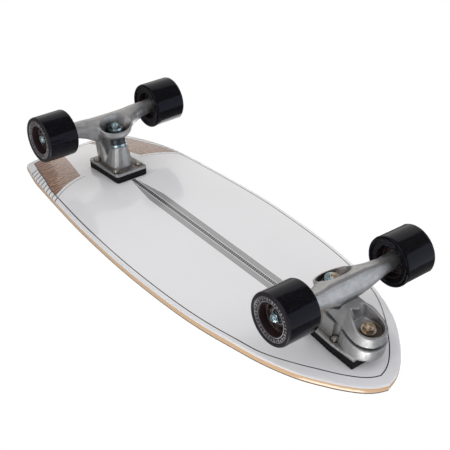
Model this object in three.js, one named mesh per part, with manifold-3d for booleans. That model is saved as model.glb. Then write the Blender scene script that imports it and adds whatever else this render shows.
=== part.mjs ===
// Surf skateboard: a short wide deck on two cast trucks. The front truck's hanger rides on
// a swing arm that turns on a leaning bolt in its base, against a spring.
// Millimetres, +Z up, wheels on Z = 0. The nose points along -Y, and the origin is under
// the middle of the deck. Each truck is built round the middle of its axle, with +Y inboard.
import * as THREE from 'three';
import { mergeVertices } from 'three/addons/utils/BufferGeometryUtils.js';
import Module from 'manifold-3d';

const wasm = await Module();
wasm.setup();

// Shared values
const fitGap = 0.3;
const cutOverrun = 60;
const quarterTurn = Math.PI / 2;
const radians = THREE.MathUtils.degToRad;
const weldTolerance = 1e-4;
const hexSides = 6;
const curveSegments = 6;
const noseSegments = 11;
const heightPasses = 6;

// Deck
const deckLength = 746;
const deckWidth = 273.6;
const deckThickness = 10.5;
const deckRailInset = 2.2;
const tipHalfWidth = 5;
const tipTrimShare = 1.5;
const concaveFlatShare = 0.3;
const noseLift = 22.9;
const noseLiftShare = 0.235;
const noseLiftPower = 1.75;
const tailLift = 27;
const tailLiftShare = 0.26;
const tailLiftPower = 1.85;
const gripThickness = 1;
const gripInset = 1.5;
const deckStations = 26;
const outlineSamples = 400;

// Half outline of the deck from nose to tail: share of the length, share of the half width
const outlineShares = [
  [0, 0], [0.008, 0.14], [0.026, 0.29], [0.06, 0.47], [0.11, 0.657], [0.19, 0.819],
  [0.32, 0.952], [0.49, 1], [0.64, 0.972], [0.79, 0.897], [0.9, 0.8], [0.962, 0.705],
  [0.985, 0.662], [0.994, 0.6], [0.999, 0.42], [1, 0],
];
// Rise of the rails over the middle: share of the length from the nose, millimetres
const concaveDepths = [[0, 0], [0.2, 5.8], [0.5, 6], [0.75, 9], [0.88, 6.5], [1, 2.5]];
// Places across the deck where its surface has points, as shares of the half width
const acrossShares = [-1, -0.82, -0.58, -0.3, 0.3, 0.58, 0.82, 1];

// Trucks: heights are from the axle up to the deck, and distances run inboard
const wheelRadius = 35;
const noseToFrontAxle = 89.5;
const axleSpacing = 535;
const track = 195;

// Plates, risers and deck bolts: each plate is pitched to lie along the deck's curve
const frontSeatPitch = 5.5;
const frontSeatInboard = 16.5;
const frontSeatHeight = 72.8;
const frontRiserMiddle = 5;
const rearSeatPitch = 4.5;
const rearSeatInboard = 25.5;
const rearRiserMiddle = 7;
const plateThickness = 4.5;
const plateCorner = 5;
const frontPlateInner = 41;
const frontPlateHalf = 30.5;
const frontPlateTaperStart = -30;
const frontPlateOuter = -67;
const frontPlateTipHalf = 26.5;
const rearPlateInner = 41;
const rearPlateOuter = -42;
const rearPlateHalf = 28;
const boltSpacingAcross = 41.3;
const boltSpacingAlong = 54;
const deckBoltRadius = 2.4;
const deckBoltHeadRadius = 4.6;
const deckBoltHeadDepth = 3;
const deckBoltNutFlats = 9.5;
const deckBoltNutHeight = 4.8;
const deckBoltTail = 1.2;
const nutRoomRadius = 6.4;
const nutFloorThickness = 1.8;

// Steering: the bushings turn round bushCentre, the hanger's stem ends in the pivot cup
const kingpinLean = 17;
const bushInboard = 25;
const bushHeight = 19.5;
const pivotReach = 40;
const pivotBallRadius = 4.8;
const pivotCupRadius = 7.2;
const pivotCupWall = 1.2;
const pivotCupDepth = 12;
const kingpinRadius = 4.75;
const kingpinHeadFlats = 14.3;
const kingpinHeadHeight = 6;
const kingpinHeadRoom = 9.6;
const kingpinHoleRadius = 6.6;
const webHalf = 2.5;
const webRadius = 15.5;
const bushRadius = 11.7;
const bushBulge = 0.7;
const lowerBushHeight = 11.5;
const upperBushHeight = 8;
const cupRadius = 12.7;
const cupThickness = 1.8;
const washerRadius = 12;
const washerThickness = 1.6;
const kingpinNutFlats = 14.3;
const kingpinNutHeight = 6.5;
const kingpinTail = 1.5;
const seatRadius = 13.6;

// Hanger: its arms' faces are tipped by hangerTilt about the axle. Sections by place across,
// middle inboard and towards the deck, half sizes, roundness
const hangerEndRadius = 11;
const hangerTilt = 22;
const hangerSections = [
  [62, 1, 1.7, 11.1, 10.8, 0.75], [44, 3.7, 3.9, 13.1, 13, 0.58],
  [30, 8.2, 5.7, 16.1, 16.1, 0.58], [12, 8.9, 6.1, 16.5, 16.5, 0.58],
];
const bowlTilt = 43;
const bowlRimInboard = 22.7;
const bowlRimHeight = 0.6;
const bowlHalfAcross = 27;
const bowlHalfAlong = 17.8;
const bowlWall = 2.8;
const bowlDepth = 18;
const bowlFloorRadius = 13.4;
const bowlBulgeShare = 0.5;
const bowlBulge = 1.13;
const washerRoomRadius = 14.6;
const washerRoomDepth = 15.3;
const lowerRoomRadius = 14.2;
const stemNeckRadius = 6.6;
// Stem of the hanger: place along the hinge line, half height and half width
const stemSections = [[-29, 7.2, 9], [-21.5, 10, 12]];
// Gusset from the stem out to the arms: place across, middle along the hinge line and along
// the kingpin, half sizes, roundness
const gussetSections = [
  [52, -18, -21.5, 10.4, 8, 1], [37, -18.2, -18, 15, 10, 0.9], [20, -19, -12, 15.2, 10, 0.9],
  [6, -19, -6, 15, 9, 0.9],
];
const bodySides = 16;
const bowlSides = 20;

// Axle and wheels
const axleRadius = 4;
const axleNutFlats = 12.7;
const axleNutHeight = 7.5;
const axleTail = 1.5;
const tyreWidth = 51;
const tyreLip = 2.2;
const tyreBoreRadius = 20.3;
const printRingDepth = 2.2;
const wheelRecessRadius = 21.8;
const coreWidth = 28;
const coreWindows = 6;
const coreWindowDepth = 7;
const bearingRadius = 11;
const bearingWidth = 7;
const bearingSpread = 10.3;
const bearingShieldDepth = 0.4;
const hubStopRadius = 8.5;
const wheelSides = 24;
const hubSides = 12;
const smallSides = 8;

// Front base and swing arm: the arm turns on a bolt that leans by swingLean
const swingLean = 10;
const swingInboard = -43;
const swingHeight = 53.3;
const swingGap = 1.6;
const armNoseRadius = 25;
const armFlankHalf = 20.5;
const armFlankBend = 12;
const armDraft = 3.4;
const armRimFlankHalf = 15.2;
const armLipHeight = 2.8;
const armLipInset = 1.6;
const armRiseStart = -10;
const armNoseHeight = 16.5;
const armShoulderFrom = 25;
const armShoulderHeight = 26.5;
const armEndRadius = 16;
const armBlockDepth = 8;
const armPocketFloor = 8.5;
const pocketFloorNose = 17.4;
const pocketFloorHalf = 12;
const pocketFloorEnd = 20;
const pocketRimNose = 21.6;
const pocketRimHalf = 13.5;
const pocketRimEnd = 27.5;
const pocketCorner = 5;
const pocketRibRadius = 7.5;
const pocketRibInboard = 29.5;
// Top of the swing arm between the pivot cup and the kingpin's seat, in the steering frame
const armWaistHeight = -2;
const armWaistEnd = -14;
const stemRoomRadius = 12;
const swingBoltRadius = 4.75;
const swingBoltFlats = 17;
const swingBoltHeadHeight = 6;
const swingBoltHeadRoom = 10.6;
const swingBoltHeadFrom = 13;
const swingNutHeight = 6.5;
const swingWasherRadius = 10;
const swingWasherThickness = 1.8;
const thrustBearingRadius = 14;
const thrustBearingDepth = 2.4;
const baseNoseRadius = 26.8;
const baseFlankHalf = 21;
const baseFlankFrom = 26;

// Return spring and its rod, lengthwise in the front base
const springBoreRadius = 7.6;
const springBoreHeight = -14.3;
const springBoreDepth = 41;
const springWire = 1.2;
const springWireSides = 4;
const springCoilRadius = 5.6;
const springCoilSides = 8;
const springTurns = 7;
const springEndRoom = 1.5;
const springPlugThickness = 3;
const rodRadius = 3;
const rodHeadThickness = 2;

// Rear base: its lug's sections by height, outer end, inner end and half width
const towerHalfAcross = 19.5;
const towerHalfAlong = 21;
const towerInboard = 4;
const towerRoundness = 0.8;
const lugSections = [
  [21.5, -17.5, -11.5, 9.5], [25, -20.8, -10, 12], [34, -22.4, -7, 13], [46, -20, 4, 14.5],
];
const lugFoot = [-34, -4, 18];
const rearPinDepth = 20;

// Values worked out from the ones above
const deckUnderHeight = wheelRadius + frontSeatHeight + frontRiserMiddle;
const rearSeatHeight = deckUnderHeight - wheelRadius - rearRiserMiddle;
const pinFitRadius = kingpinRadius + fitGap;
const seatDepth = webHalf + lowerBushHeight + cupThickness + 3 * fitGap;
const pivotBack = -pivotReach - pivotBallRadius - fitGap;
const pivotMouth = pivotBack - pivotCupWall + pivotCupDepth;
const wheelOffset = track / 2;
const hangerEnd = wheelOffset - bearingSpread / 2 - bearingWidth - fitGap;
const deckHalf = deckLength / 2;
const frontAxleY = noseToFrontAxle - deckHalf;

const finishes = {
  maple: [0xd6ae83, 0.5, 0],
  grip: [0x1c1c1e, 0.95, 0],
  castAluminium: [0xa9a8a6, 0.42, 0.9],
  riserRubber: [0x111114, 0.7, 0],
  zincSteel: [0xc2c8cc, 0.28, 1],
  goldZinc: [0xc9a24e, 0.3, 1],
  bushUrethane: [0x1a2026, 0.55, 0],
  wheelUrethane: [0x15130f, 0.2, 0],
  coreNylon: [0x1d1a1a, 0.45, 0],
  springSteel: [0x7d8084, 0.35, 1],
  blackSteel: [0x26272a, 0.45, 0.8],
};

// Helpers that shape and join closed meshes
function closed(geometry) {
  const bare = geometry.clone();
  bare.deleteAttribute('normal');
  bare.deleteAttribute('uv');
  const merged = mergeVertices(bare, weldTolerance);
  const corners = merged.index.array;
  const kept = [];
  for (let i = 0; i < corners.length; i += 3) {
    const [a, b, c] = corners.slice(i, i + 3);
    if (a !== b && b !== c && c !== a) kept.push(a, b, c);
  }
  merged.setIndex(signedVolume(merged, kept) < 0 ? kept.reverse() : kept);
  return merged;
}

// Negative where the faces point inwards
function signedVolume(geometry, corners) {
  const position = geometry.attributes.position;
  const [a, b, c] = [new THREE.Vector3(), new THREE.Vector3(), new THREE.Vector3()];
  let volume = 0;
  for (let i = 0; i < corners.length; i += 3) {
    a.fromBufferAttribute(position, corners[i]);
    b.fromBufferAttribute(position, corners[i + 1]);
    c.fromBufferAttribute(position, corners[i + 2]);
    volume += a.dot(b.cross(c)) / 6;
  }
  return volume;
}

function solid(geometry) {
  const merged = closed(geometry);
  return new wasm.Manifold(new wasm.Mesh({
    numProp: 3,
    vertProperties: new Float32Array(merged.attributes.position.array),
    triVerts: new Uint32Array(merged.index.array),
  }));
}

function fromSolid(body) {
  const { vertProperties, triVerts } = body.getMesh();
  const geometry = new THREE.BufferGeometry();
  geometry.setAttribute('position', new THREE.BufferAttribute(vertProperties, 3));
  geometry.setIndex([...triVerts]);
  return geometry;
}

function joined(first, ...others) {
  return others.reduce((body, geometry) => body.add(solid(geometry)), solid(first));
}

function cut(body, ...tools) {
  return tools.reduce((left, geometry) => left.subtract(solid(geometry)), body);
}

function piece(name, shape, finish) {
  const geometry = shape.isBufferGeometry ? closed(shape) : fromSolid(shape);
  geometry.computeVertexNormals();
  const [color, roughness, metalness] = finishes[finish];
  const mesh = new THREE.Mesh(geometry, new THREE.MeshStandardMaterial({ color, roughness, metalness }));
  mesh.name = name;
  return mesh;
}

// A body through rings of points, all with as many points, with a flat cap at each end
function loft(rings) {
  const count = rings[0].length;
  const index = [];
  for (let r = 0; r + 1 < rings.length; r += 1) {
    for (let i = 0; i < count; i += 1) {
      const a = r * count + i;
      const b = r * count + ((i + 1) % count);
      index.push(a, b, b + count, a, b + count, a + count);
    }
  }
  const last = (rings.length - 1) * count;
  for (let i = 1; i + 1 < count; i += 1) {
    index.push(0, i + 1, i, last, last + i, last + i + 1);
  }
  const geometry = new THREE.BufferGeometry();
  geometry.setAttribute('position', new THREE.Float32BufferAttribute(rings.flat(2), 3));
  geometry.setIndex(index);
  return geometry;
}

// Points of an ellipse round a middle in the plane square to X, Y or Z; less roundness
// pushes its diagonals out towards a rectangle
function ellipse(axis, middle, halfA, halfB, sides, roundness = 1) {
  const [x, y, z] = middle;
  const pushed = (value) => Math.sign(value) * Math.abs(value) ** roundness;
  return Array.from({ length: sides }, (_, i) => {
    const angle = (2 * Math.PI * (i + 0.5)) / sides;
    const a = halfA * pushed(Math.cos(angle));
    const b = halfB * pushed(Math.sin(angle));
    if (axis === 'x') return [x, y + a, z + b];
    if (axis === 'y') return [x + b, y, z + a];
    return [x + a, y + b, z];
  });
}

function placed(points, matrix) {
  return points.map((point) => new THREE.Vector3(...point).applyMatrix4(matrix).toArray());
}

// A closed profile of [radius, place along the axis] turned round X, Y or Z
function turned(axis, profile, sides = hubSides) {
  const points = profile.map(([radius, along]) => new THREE.Vector2(radius, along));
  const geometry = new THREE.LatheGeometry(points, sides);
  if (axis === 'x') geometry.rotateZ(-quarterTurn);
  if (axis === 'z') geometry.rotateX(quarterTurn);
  return geometry;
}

function rod(axis, radius, from, to, sides = hubSides) {
  return turned(axis, [[0, from], [radius, from], [radius, to], [0, to]], sides);
}

function ring(axis, inner, outer, from, to, sides = hubSides) {
  return turned(axis, [[inner, from], [outer, from], [outer, to], [inner, to], [inner, from]], sides);
}

function box(x0, x1, y0, y1, z0, z1) {
  const geometry = new THREE.BoxGeometry(x1 - x0, y1 - y0, z1 - z0);
  return geometry.translate((x0 + x1) / 2, (y0 + y1) / 2, (z0 + z1) / 2);
}

// A plan outline in X and Y raised from z0 to z1
function prism(shape, z0, z1, segments = curveSegments) {
  const settings = { depth: z1 - z0, bevelEnabled: false, curveSegments: segments };
  const geometry = new THREE.ExtrudeGeometry(shape, settings);
  return geometry.translate(0, 0, z0);
}

// An outline in Y and Z carried across X to both sides
function sidePrism(shape, half) {
  const [x, y, z] = [new THREE.Vector3(1, 0, 0), new THREE.Vector3(0, 1, 0), new THREE.Vector3(0, 0, 1)];
  return prism(shape, -half, half).applyMatrix4(new THREE.Matrix4().makeBasis(y, z, x));
}

// A plan outline's points at one height, for a loft up Z
function planRing(shape, height, segments = curveSegments) {
  return shape.getPoints(segments).slice(0, -1).map(({ x, y }) => [x, y, height]);
}

function roundedPlan(half, inner, outer, corner) {
  const shape = new THREE.Shape();
  shape.absarc(half - corner, outer + corner, corner, -quarterTurn, 0);
  shape.absarc(half - corner, inner - corner, corner, 0, quarterTurn);
  shape.absarc(corner - half, inner - corner, corner, quarterTurn, 2 * quarterTurn);
  shape.absarc(corner - half, outer + corner, corner, 2 * quarterTurn, 3 * quarterTurn);
  shape.closePath();
  return shape;
}

// A rounded rectangle of points at one height, for a loft up Z
function squareRing(half, outer, inner, height) {
  return planRing(roundedPlan(half, inner, outer, Math.min(half, (inner - outer) / 2) / 2), height);
}

// A hex bar along Z
function hex(flats, from, to) {
  return rod('z', flats / Math.sqrt(3), from, to, hexSides);
}

// A hex nut with the corners of its outer face turned off
function nut(flats, bore, from, to) {
  const cornerRadius = flats / Math.sqrt(3);
  const crown = turned('z', [
    [bore, from], [flats / 2, from], [cornerRadius, from + (cornerRadius - flats / 2)],
    [cornerRadius, to], [bore, to], [bore, from],
  ], 2 * hexSides);
  return solid(hex(flats, from, to)).intersect(solid(crown));
}

function bolt(radius, flats, headHeight, from, to) {
  return joined(hex(flats, to, to + headHeight), rod('z', radius, from, to + headHeight / 2, smallSides));
}

// Frames: the steering frame has its Z along the kingpin and its Y along the hinge line
function leaned(degrees, inboard, height) {
  return new THREE.Matrix4().makeRotationX(-radians(degrees)).setPosition(0, inboard, height);
}

const steerMatrix = leaned(kingpinLean, bushInboard, bushHeight);
const swingMatrix = leaned(swingLean, swingInboard, swingHeight);
const frontSeat = leaned(frontSeatPitch, frontSeatInboard, frontSeatHeight);
const rearSeat = leaned(rearSeatPitch, rearSeatInboard, rearSeatHeight);
const truckToSteer = steerMatrix.clone().invert();
const steerInSwing = swingMatrix.clone().invert().multiply(steerMatrix);
const swingInSeat = frontSeat.clone().invert().multiply(swingMatrix);
const steerInRearSeat = rearSeat.clone().invert().multiply(steerMatrix);

function frameGroup(matrix, ...meshes) {
  const group = new THREE.Group();
  group.applyMatrix4(matrix);
  group.add(...meshes);
  return group;
}

function truckMatrix(front) {
  const y = front ? frontAxleY : frontAxleY + axleSpacing;
  return new THREE.Matrix4().makeRotationZ(front ? 0 : Math.PI).setPosition(0, y, wheelRadius);
}

function seatInWorld(front) {
  return truckMatrix(front).multiply(front ? frontSeat : rearSeat);
}

// Deck surfaces
const outlineCurve = new THREE.SplineCurve(outlineShares.map(([along, half]) => (
  new THREE.Vector2(along * deckLength - deckHalf, half * deckWidth / 2))));
const outlinePoints = outlineCurve.getSpacedPoints(outlineSamples);

function halfWidthAt(y) {
  const next = outlinePoints.findIndex((point) => point.x >= y);
  if (next <= 0) return 0;
  const before = outlinePoints[next - 1];
  const after = outlinePoints[next];
  return before.y + (after.y - before.y) * ((y - before.x) / (after.x - before.x));
}

function rampShare(share, start) {
  return Math.max(0, (share - start) / (1 - start));
}

function concaveAt(share) {
  const next = Math.max(1, concaveDepths.findIndex(([along]) => along >= share));
  const [from, before] = concaveDepths[next - 1];
  const [to, after] = concaveDepths[next];
  return THREE.MathUtils.lerp(before, after, THREE.MathUtils.smoothstep(share, from, to));
}

// Height of the deck's underside over the ground
function undersideAt(x, y) {
  const share = THREE.MathUtils.clamp((y + deckHalf) / deckLength, 0, 1);
  const nose = noseLift * rampShare(1 - share, 1 - noseLiftShare) ** noseLiftPower;
  const tail = tailLift * rampShare(share, 1 - tailLiftShare) ** tailLiftPower;
  const across = rampShare(Math.abs(x) / Math.max(halfWidthAt(y), tipHalfWidth), concaveFlatShare);
  return deckUnderHeight + nose + tail + concaveAt(share) * Math.min(1, across) ** 2;
}

// Points of the outline where the deck has a cross-section, closer together at both ends
function stations() {
  const spaced = Array.from({ length: deckStations }, (_, i) => (
    outlineCurve.getPointAt((1 - Math.cos((Math.PI * (i + 1)) / (deckStations + 1))) / 2)))
    .filter((point) => point.y > tipTrimShare * tipHalfWidth);
  const first = { x: -deckHalf, y: tipHalfWidth };
  const last = { x: deckHalf, y: tipHalfWidth };
  return [first, ...spaced, last];
}

// A sheet that follows the deck's underside, from one height over it to another
function sheet(inset, from, to) {
  const middle = (from + to) / 2;
  const rings = stations().map(({ x: y, y: half }) => {
    const pulled = y * (1 - (2 * inset) / deckLength);
    const rail = Math.max(half - inset, tipHalfWidth / 2);
    const flat = Math.max(half - deckRailInset, tipHalfWidth / 3);
    const row = acrossShares.map((share) => share * flat);
    const lower = row.map((x) => [x, pulled, undersideAt(x, y) + from]);
    const upper = row.map((x) => [x, pulled, undersideAt(x, y) + to]).reverse();
    const right = [rail, pulled, undersideAt(flat, y) + middle];
    const left = [-rail, pulled, undersideAt(flat, y) + middle];
    return [...lower, right, ...upper, left];
  });
  return loft(rings);
}

// Everything over the deck's underside, which trims the risers to lie against it
function aboveUnderside() {
  return sheet(0, -fitGap, cutOverrun);
}

// Deck bolts, in the frame of the seat between plate and riser
const boltPlaces = [-1, 1].flatMap((side) => (
  [-1, 1].map((end) => [side * boltSpacingAcross / 2, end * boltSpacingAlong / 2])));

// Height of the grip's top over a seat, along a bolt
function gripTopOverSeat(x, y, front) {
  const matrix = seatInWorld(front);
  const gripTop = deckThickness + fitGap + gripThickness;
  let height = 0;
  for (let pass = 0; pass < heightPasses; pass += 1) {
    const place = new THREE.Vector3(x, y, height).applyMatrix4(matrix);
    height += undersideAt(place.x, place.y) + gripTop - place.z;
  }
  return height;
}

function deckBoltTool([x, y], front) {
  const top = gripTopOverSeat(x, y, front);
  const shankRoom = deckBoltRadius + fitGap;
  const headRoom = deckBoltHeadRadius + fitGap;
  return turned('z', [
    [0, -cutOverrun], [shankRoom, -cutOverrun], [shankRoom, top - deckBoltHeadDepth],
    [headRoom, top], [headRoom, cutOverrun], [0, cutOverrun],
  ], smallSides).translate(x, y, 0);
}

function boltHoles(front) {
  return boltPlaces.map((place) => deckBoltTool(place, front));
}

function deckPieces() {
  const tools = [true, false].flatMap((front) => (
    boltHoles(front).map((tool) => tool.applyMatrix4(seatInWorld(front)))));
  const gripFrom = deckThickness + fitGap;
  const deck = sheet(0, 0, deckThickness);
  const grip = sheet(gripInset, gripFrom, gripFrom + gripThickness);
  return [
    piece('deck', cut(solid(deck), ...tools), 'maple'),
    piece('grip_tape', cut(solid(grip), ...tools), 'grip'),
  ];
}

function deckBolt(name, [x, y], front) {
  const top = gripTopOverSeat(x, y, front);
  const nutTop = -nutFloorThickness - fitGap;
  const nutEnd = nutTop - deckBoltNutHeight;
  const body = turned('z', [
    [0, nutEnd - deckBoltTail], [deckBoltRadius, nutEnd - deckBoltTail],
    [deckBoltRadius, top - deckBoltHeadDepth], [deckBoltHeadRadius, top], [0, top],
  ], smallSides);
  const nutBar = hex(deckBoltNutFlats, nutEnd, nutTop);
  return piece(name, fromSolid(joined(nutBar, body)).translate(x, y, 0), 'zincSteel');
}

// The rider faces the nose, so the left side is +X; the rear truck's frame is turned round
function deckBolts(end, front) {
  return boltPlaces.map((place) => {
    const side = (place[0] > 0) === front ? 'left' : 'right';
    const row = place[1] > 0 ? 'inner' : 'outer';
    return deckBolt(`${end}_${side}_${row}_deck_bolt`, place, front);
  });
}

// Wheels
function tyre(name, side) {
  const half = tyreWidth / 2;
  const printFace = half - printRingDepth;
  const profile = [
    [tyreBoreRadius, coreWidth / 2], [wheelRecessRadius, printFace],
    [wheelRadius - 3 * tyreLip, printFace], [wheelRadius - 2 * tyreLip, half],
    [wheelRadius - tyreLip, half], [wheelRadius, half - tyreLip],
  ];
  const mirrored = profile.map(([radius, along]) => [radius, -along]).reverse();
  const loop = [...profile, ...mirrored, profile[0]];
  const shape = turned('x', loop.reverse(), wheelSides).translate(side * wheelOffset, 0, 0);
  return piece(name, shape, 'wheelUrethane');
}

function core(name, side) {
  const half = coreWidth / 2;
  const outer = tyreBoreRadius - fitGap;
  const seat = bearingRadius + fitGap;
  const stop = bearingSpread / 2 - fitGap;
  const body = solid(turned('x', [
    [hubStopRadius, -stop], [seat, -stop], [seat, -half], [outer, -half],
    [outer, half], [seat, half], [seat, stop], [hubStopRadius, stop], [hubStopRadius, -stop],
  ], wheelSides));
  const middle = (seat + tyreBoreRadius) / 2;
  const size = (tyreBoreRadius - seat) / 4;
  const [from, to] = [half - coreWindowDepth, half + cutOverrun].sort((a, b) => a * side - b * side);
  const windows = Array.from({ length: coreWindows }, (_, i) => (
    box(side * from, side * to, -size, size, -size, size)
      .translate(0, 0, middle)
      .rotateX((2 * Math.PI * i) / coreWindows)));
  const shape = fromSolid(cut(body, ...windows)).translate(side * wheelOffset, 0, 0);
  return piece(name, shape, 'coreNylon');
}

function bearing(name, side, outer) {
  const inner = axleRadius + fitGap;
  const half = bearingWidth / 2;
  const shield = bearingRadius - (bearingRadius - inner) / 4;
  const face = half - bearingShieldDepth;
  const shape = turned('x', [
    [inner, -half], [bearingRadius, -half], [bearingRadius, half], [shield, half],
    [shield, face], [inner, face], [inner, -half],
  ]);
  if (outer !== (side > 0)) shape.rotateZ(Math.PI);
  const along = wheelOffset + (outer ? 1 : -1) * (bearingSpread + bearingWidth) / 2;
  return piece(name, shape.translate(side * along, 0, 0), 'blackSteel');
}

function wheel(place, side) {
  return [
    tyre(`${place}_tyre`, side),
    core(`${place}_wheel_core`, side),
    bearing(`${place}_outer_bearing`, side, true),
    bearing(`${place}_inner_bearing`, side, false),
    axleNut(`${place}_axle_nut`, side),
  ];
}

function nutOuterFace() {
  return wheelOffset + bearingSpread / 2 + bearingWidth + fitGap + axleNutHeight;
}

function axle(name) {
  const half = nutOuterFace() + axleTail;
  const chamfer = axleTail / 2;
  return piece(name, turned('x', [
    [0, -half], [axleRadius - chamfer, -half], [axleRadius, chamfer - half],
    [axleRadius, half - chamfer], [axleRadius - chamfer, half], [0, half],
  ]), 'zincSteel');
}

function axleNut(name, side) {
  const shape = fromSolid(nut(axleNutFlats, axleRadius + fitGap, -axleNutHeight, 0));
  shape.rotateY(quarterTurn);
  if (side < 0) shape.rotateZ(Math.PI);
  return piece(name, shape.translate(side * nutOuterFace(), 0, 0), 'zincSteel');
}

function runningGear(end, front) {
  const leftSide = front ? 1 : -1;
  return [
    axle(`${end}_axle`),
    ...wheel(`${end}_left`, leftSide),
    ...wheel(`${end}_right`, -leftSide),
  ];
}

// A body across the truck through sections that are mirrored to both sides
function acrossLoft(sections) {
  const half = sections.map((row) => [-1, row]);
  const rings = [...half, ...half.toReversed().map(([, row]) => [1, row])];
  return loft(rings.map(([side, [x, y, z, halfY, halfZ, roundness]]) => (
    ellipse('x', [side * x, y, z], halfY, halfZ, bodySides, roundness))));
}

// Hanger, in the steering frame
function hangerArms() {
  const endSection = [hangerEnd, 0, 0, hangerEndRadius, hangerEndRadius, 1];
  return acrossLoft([endSection, ...hangerSections])
    .rotateX(radians(hangerTilt))
    .applyMatrix4(truckToSteer);
}

// A ring part way from one ring to another, spread out from its own middle
function ringBetween(from, to, share, spread) {
  const ring = from.map((point, i) => new THREE.Vector3(...point)
    .lerp(new THREE.Vector3(...to[i]), share));
  const middle = new THREE.Vector3();
  ring.forEach((point) => middle.addScaledVector(point, 1 / ring.length));
  return ring.map((point) => point.sub(middle).multiplyScalar(spread).add(middle).toArray());
}

// The bowl's rim lies in its own plane, tilted from the kingpin's towards the axle
function bowl(grow, depth) {
  const rimMiddle = new THREE.Vector3(0, bowlRimInboard, -bowlRimHeight).applyMatrix4(truckToSteer);
  const tilt = new THREE.Matrix4().makeRotationX(radians(bowlTilt)).setPosition(rimMiddle);
  const ringAt = (height) => placed(
    ellipse('z', [0, 0, height], bowlHalfAcross + grow, bowlHalfAlong + grow, bowlSides), tilt);
  const floor = grow > 0 ? webRadius : bowlFloorRadius;
  const seat = ellipse('z', [0, 0, grow > 0 ? webHalf : -webHalf], floor, floor, bowlSides);
  const rings = depth > 0
    ? [ringAt(-depth), ringAt(0), seat]
    : [ringAt(0), ringBetween(ringAt(0), seat, bowlBulgeShare, bowlBulge), seat];
  return loft(rings);
}

function stem() {
  const neck = -pivotReach + pivotCupDepth / 2;
  const tip = turned('y', [
    [0, -pivotReach - pivotBallRadius], [pivotBallRadius / 2, -pivotReach - pivotBallRadius],
    [pivotBallRadius, -pivotReach - pivotBallRadius / 2], [pivotBallRadius, neck],
    [stemNeckRadius, stemSections[0][0]], [0, stemSections[0][0]],
  ]);
  const root = loft([
    ellipse('y', [0, neck, 0], pivotBallRadius, pivotBallRadius, bodySides),
    ...stemSections.map(([y, halfZ, halfX]) => ellipse('y', [0, y, 0], halfZ, halfX, bodySides)),
  ]);
  return joined(tip, root, acrossLoft(gussetSections));
}

function hanger(name) {
  const body = joined(hangerArms(), bowl(bowlWall, 0)).add(stem());
  const axleBore = rod('x', axleRadius + fitGap, -cutOverrun * 2, cutOverrun * 2)
    .applyMatrix4(truckToSteer);
  return piece(name, cut(
    body,
    bowl(0, bowlDepth),
    rod('z', washerRoomRadius, -webHalf - washerRoomDepth, -webHalf, bowlSides),
    rod('z', lowerRoomRadius, webHalf, cutOverrun, bodySides),
    rod('z', kingpinHoleRadius, -webHalf - upperBushHeight, cutOverrun),
    axleBore,
  ), 'castAluminium');
}

// Kingpin set, in the steering frame
function bushing(name, from, height) {
  const to = from + height;
  return piece(name, turned('z', [
    [pinFitRadius, from], [bushRadius, from], [bushRadius + bushBulge, (from + to) / 2],
    [bushRadius, to], [pinFitRadius, to], [pinFitRadius, from],
  ]), 'bushUrethane');
}

function steeringSet(end, shoulderDepth, pinFinish) {
  const lowerFrom = webHalf + fitGap;
  const upperFrom = -webHalf - fitGap - upperBushHeight;
  const cupFrom = lowerFrom + lowerBushHeight + fitGap;
  const washerFrom = upperFrom - fitGap - washerThickness;
  const nutFrom = washerFrom - fitGap - kingpinNutHeight;
  const pinFrom = nutFrom - kingpinTail;
  const pinTo = seatDepth + shoulderDepth + fitGap;
  const cup = ring('z', pinFitRadius, cupRadius, cupFrom, cupFrom + cupThickness);
  const washer = ring('z', pinFitRadius, washerRadius, washerFrom, washerFrom + washerThickness);
  const pin = bolt(kingpinRadius, kingpinHeadFlats, kingpinHeadHeight, pinFrom, pinTo);
  const pinNut = nut(kingpinNutFlats, pinFitRadius, nutFrom, nutFrom + kingpinNutHeight);
  return [
    bushing(`${end}_lower_bushing`, lowerFrom, lowerBushHeight),
    bushing(`${end}_upper_bushing`, upperFrom, upperBushHeight),
    piece(`${end}_lower_cup_washer`, cup, 'zincSteel'),
    piece(`${end}_upper_cup_washer`, washer, 'zincSteel'),
    piece(`${end}_kingpin`, pin, pinFinish),
    piece(`${end}_kingpin_nut`, pinNut, 'zincSteel'),
    pivotCup(`${end}_pivot_cup`),
    hanger(`${end}_hanger`),
  ];
}

function pivotCup(name) {
  const inner = pivotBallRadius + fitGap;
  return piece(name, turned('y', [
    [0, pivotBack - pivotCupWall], [pivotCupRadius, pivotBack - pivotCupWall],
    [pivotCupRadius, pivotMouth], [inner, pivotMouth], [inner, pivotBack], [0, pivotBack],
  ]), 'bushUrethane');
}

function pivotSocket() {
  return rod('y', pivotCupRadius + fitGap, pivotBack - pivotCupWall - fitGap, cutOverrun);
}

// Room for a socket wrench round each deck bolt's nut, with a floor left under the nut
function nutRooms() {
  return boltPlaces.map(([x, y]) => (
    rod('z', nutRoomRadius, -cutOverrun, -nutFloorThickness, bodySides).translate(x, y, 0)));
}

function riser(name, shape, front) {
  const deckTool = aboveUnderside().applyMatrix4(seatInWorld(front).invert());
  const body = solid(prism(shape, fitGap, cutOverrun / 2));
  return piece(name, cut(body, deckTool, ...boltHoles(front)), 'riserRubber');
}

// Rear base: a plate with a tower under the kingpin and a lug round the pivot cup
function rearPlatePlan() {
  return roundedPlan(rearPlateHalf, rearPlateInner, rearPlateOuter, plateCorner);
}

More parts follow.
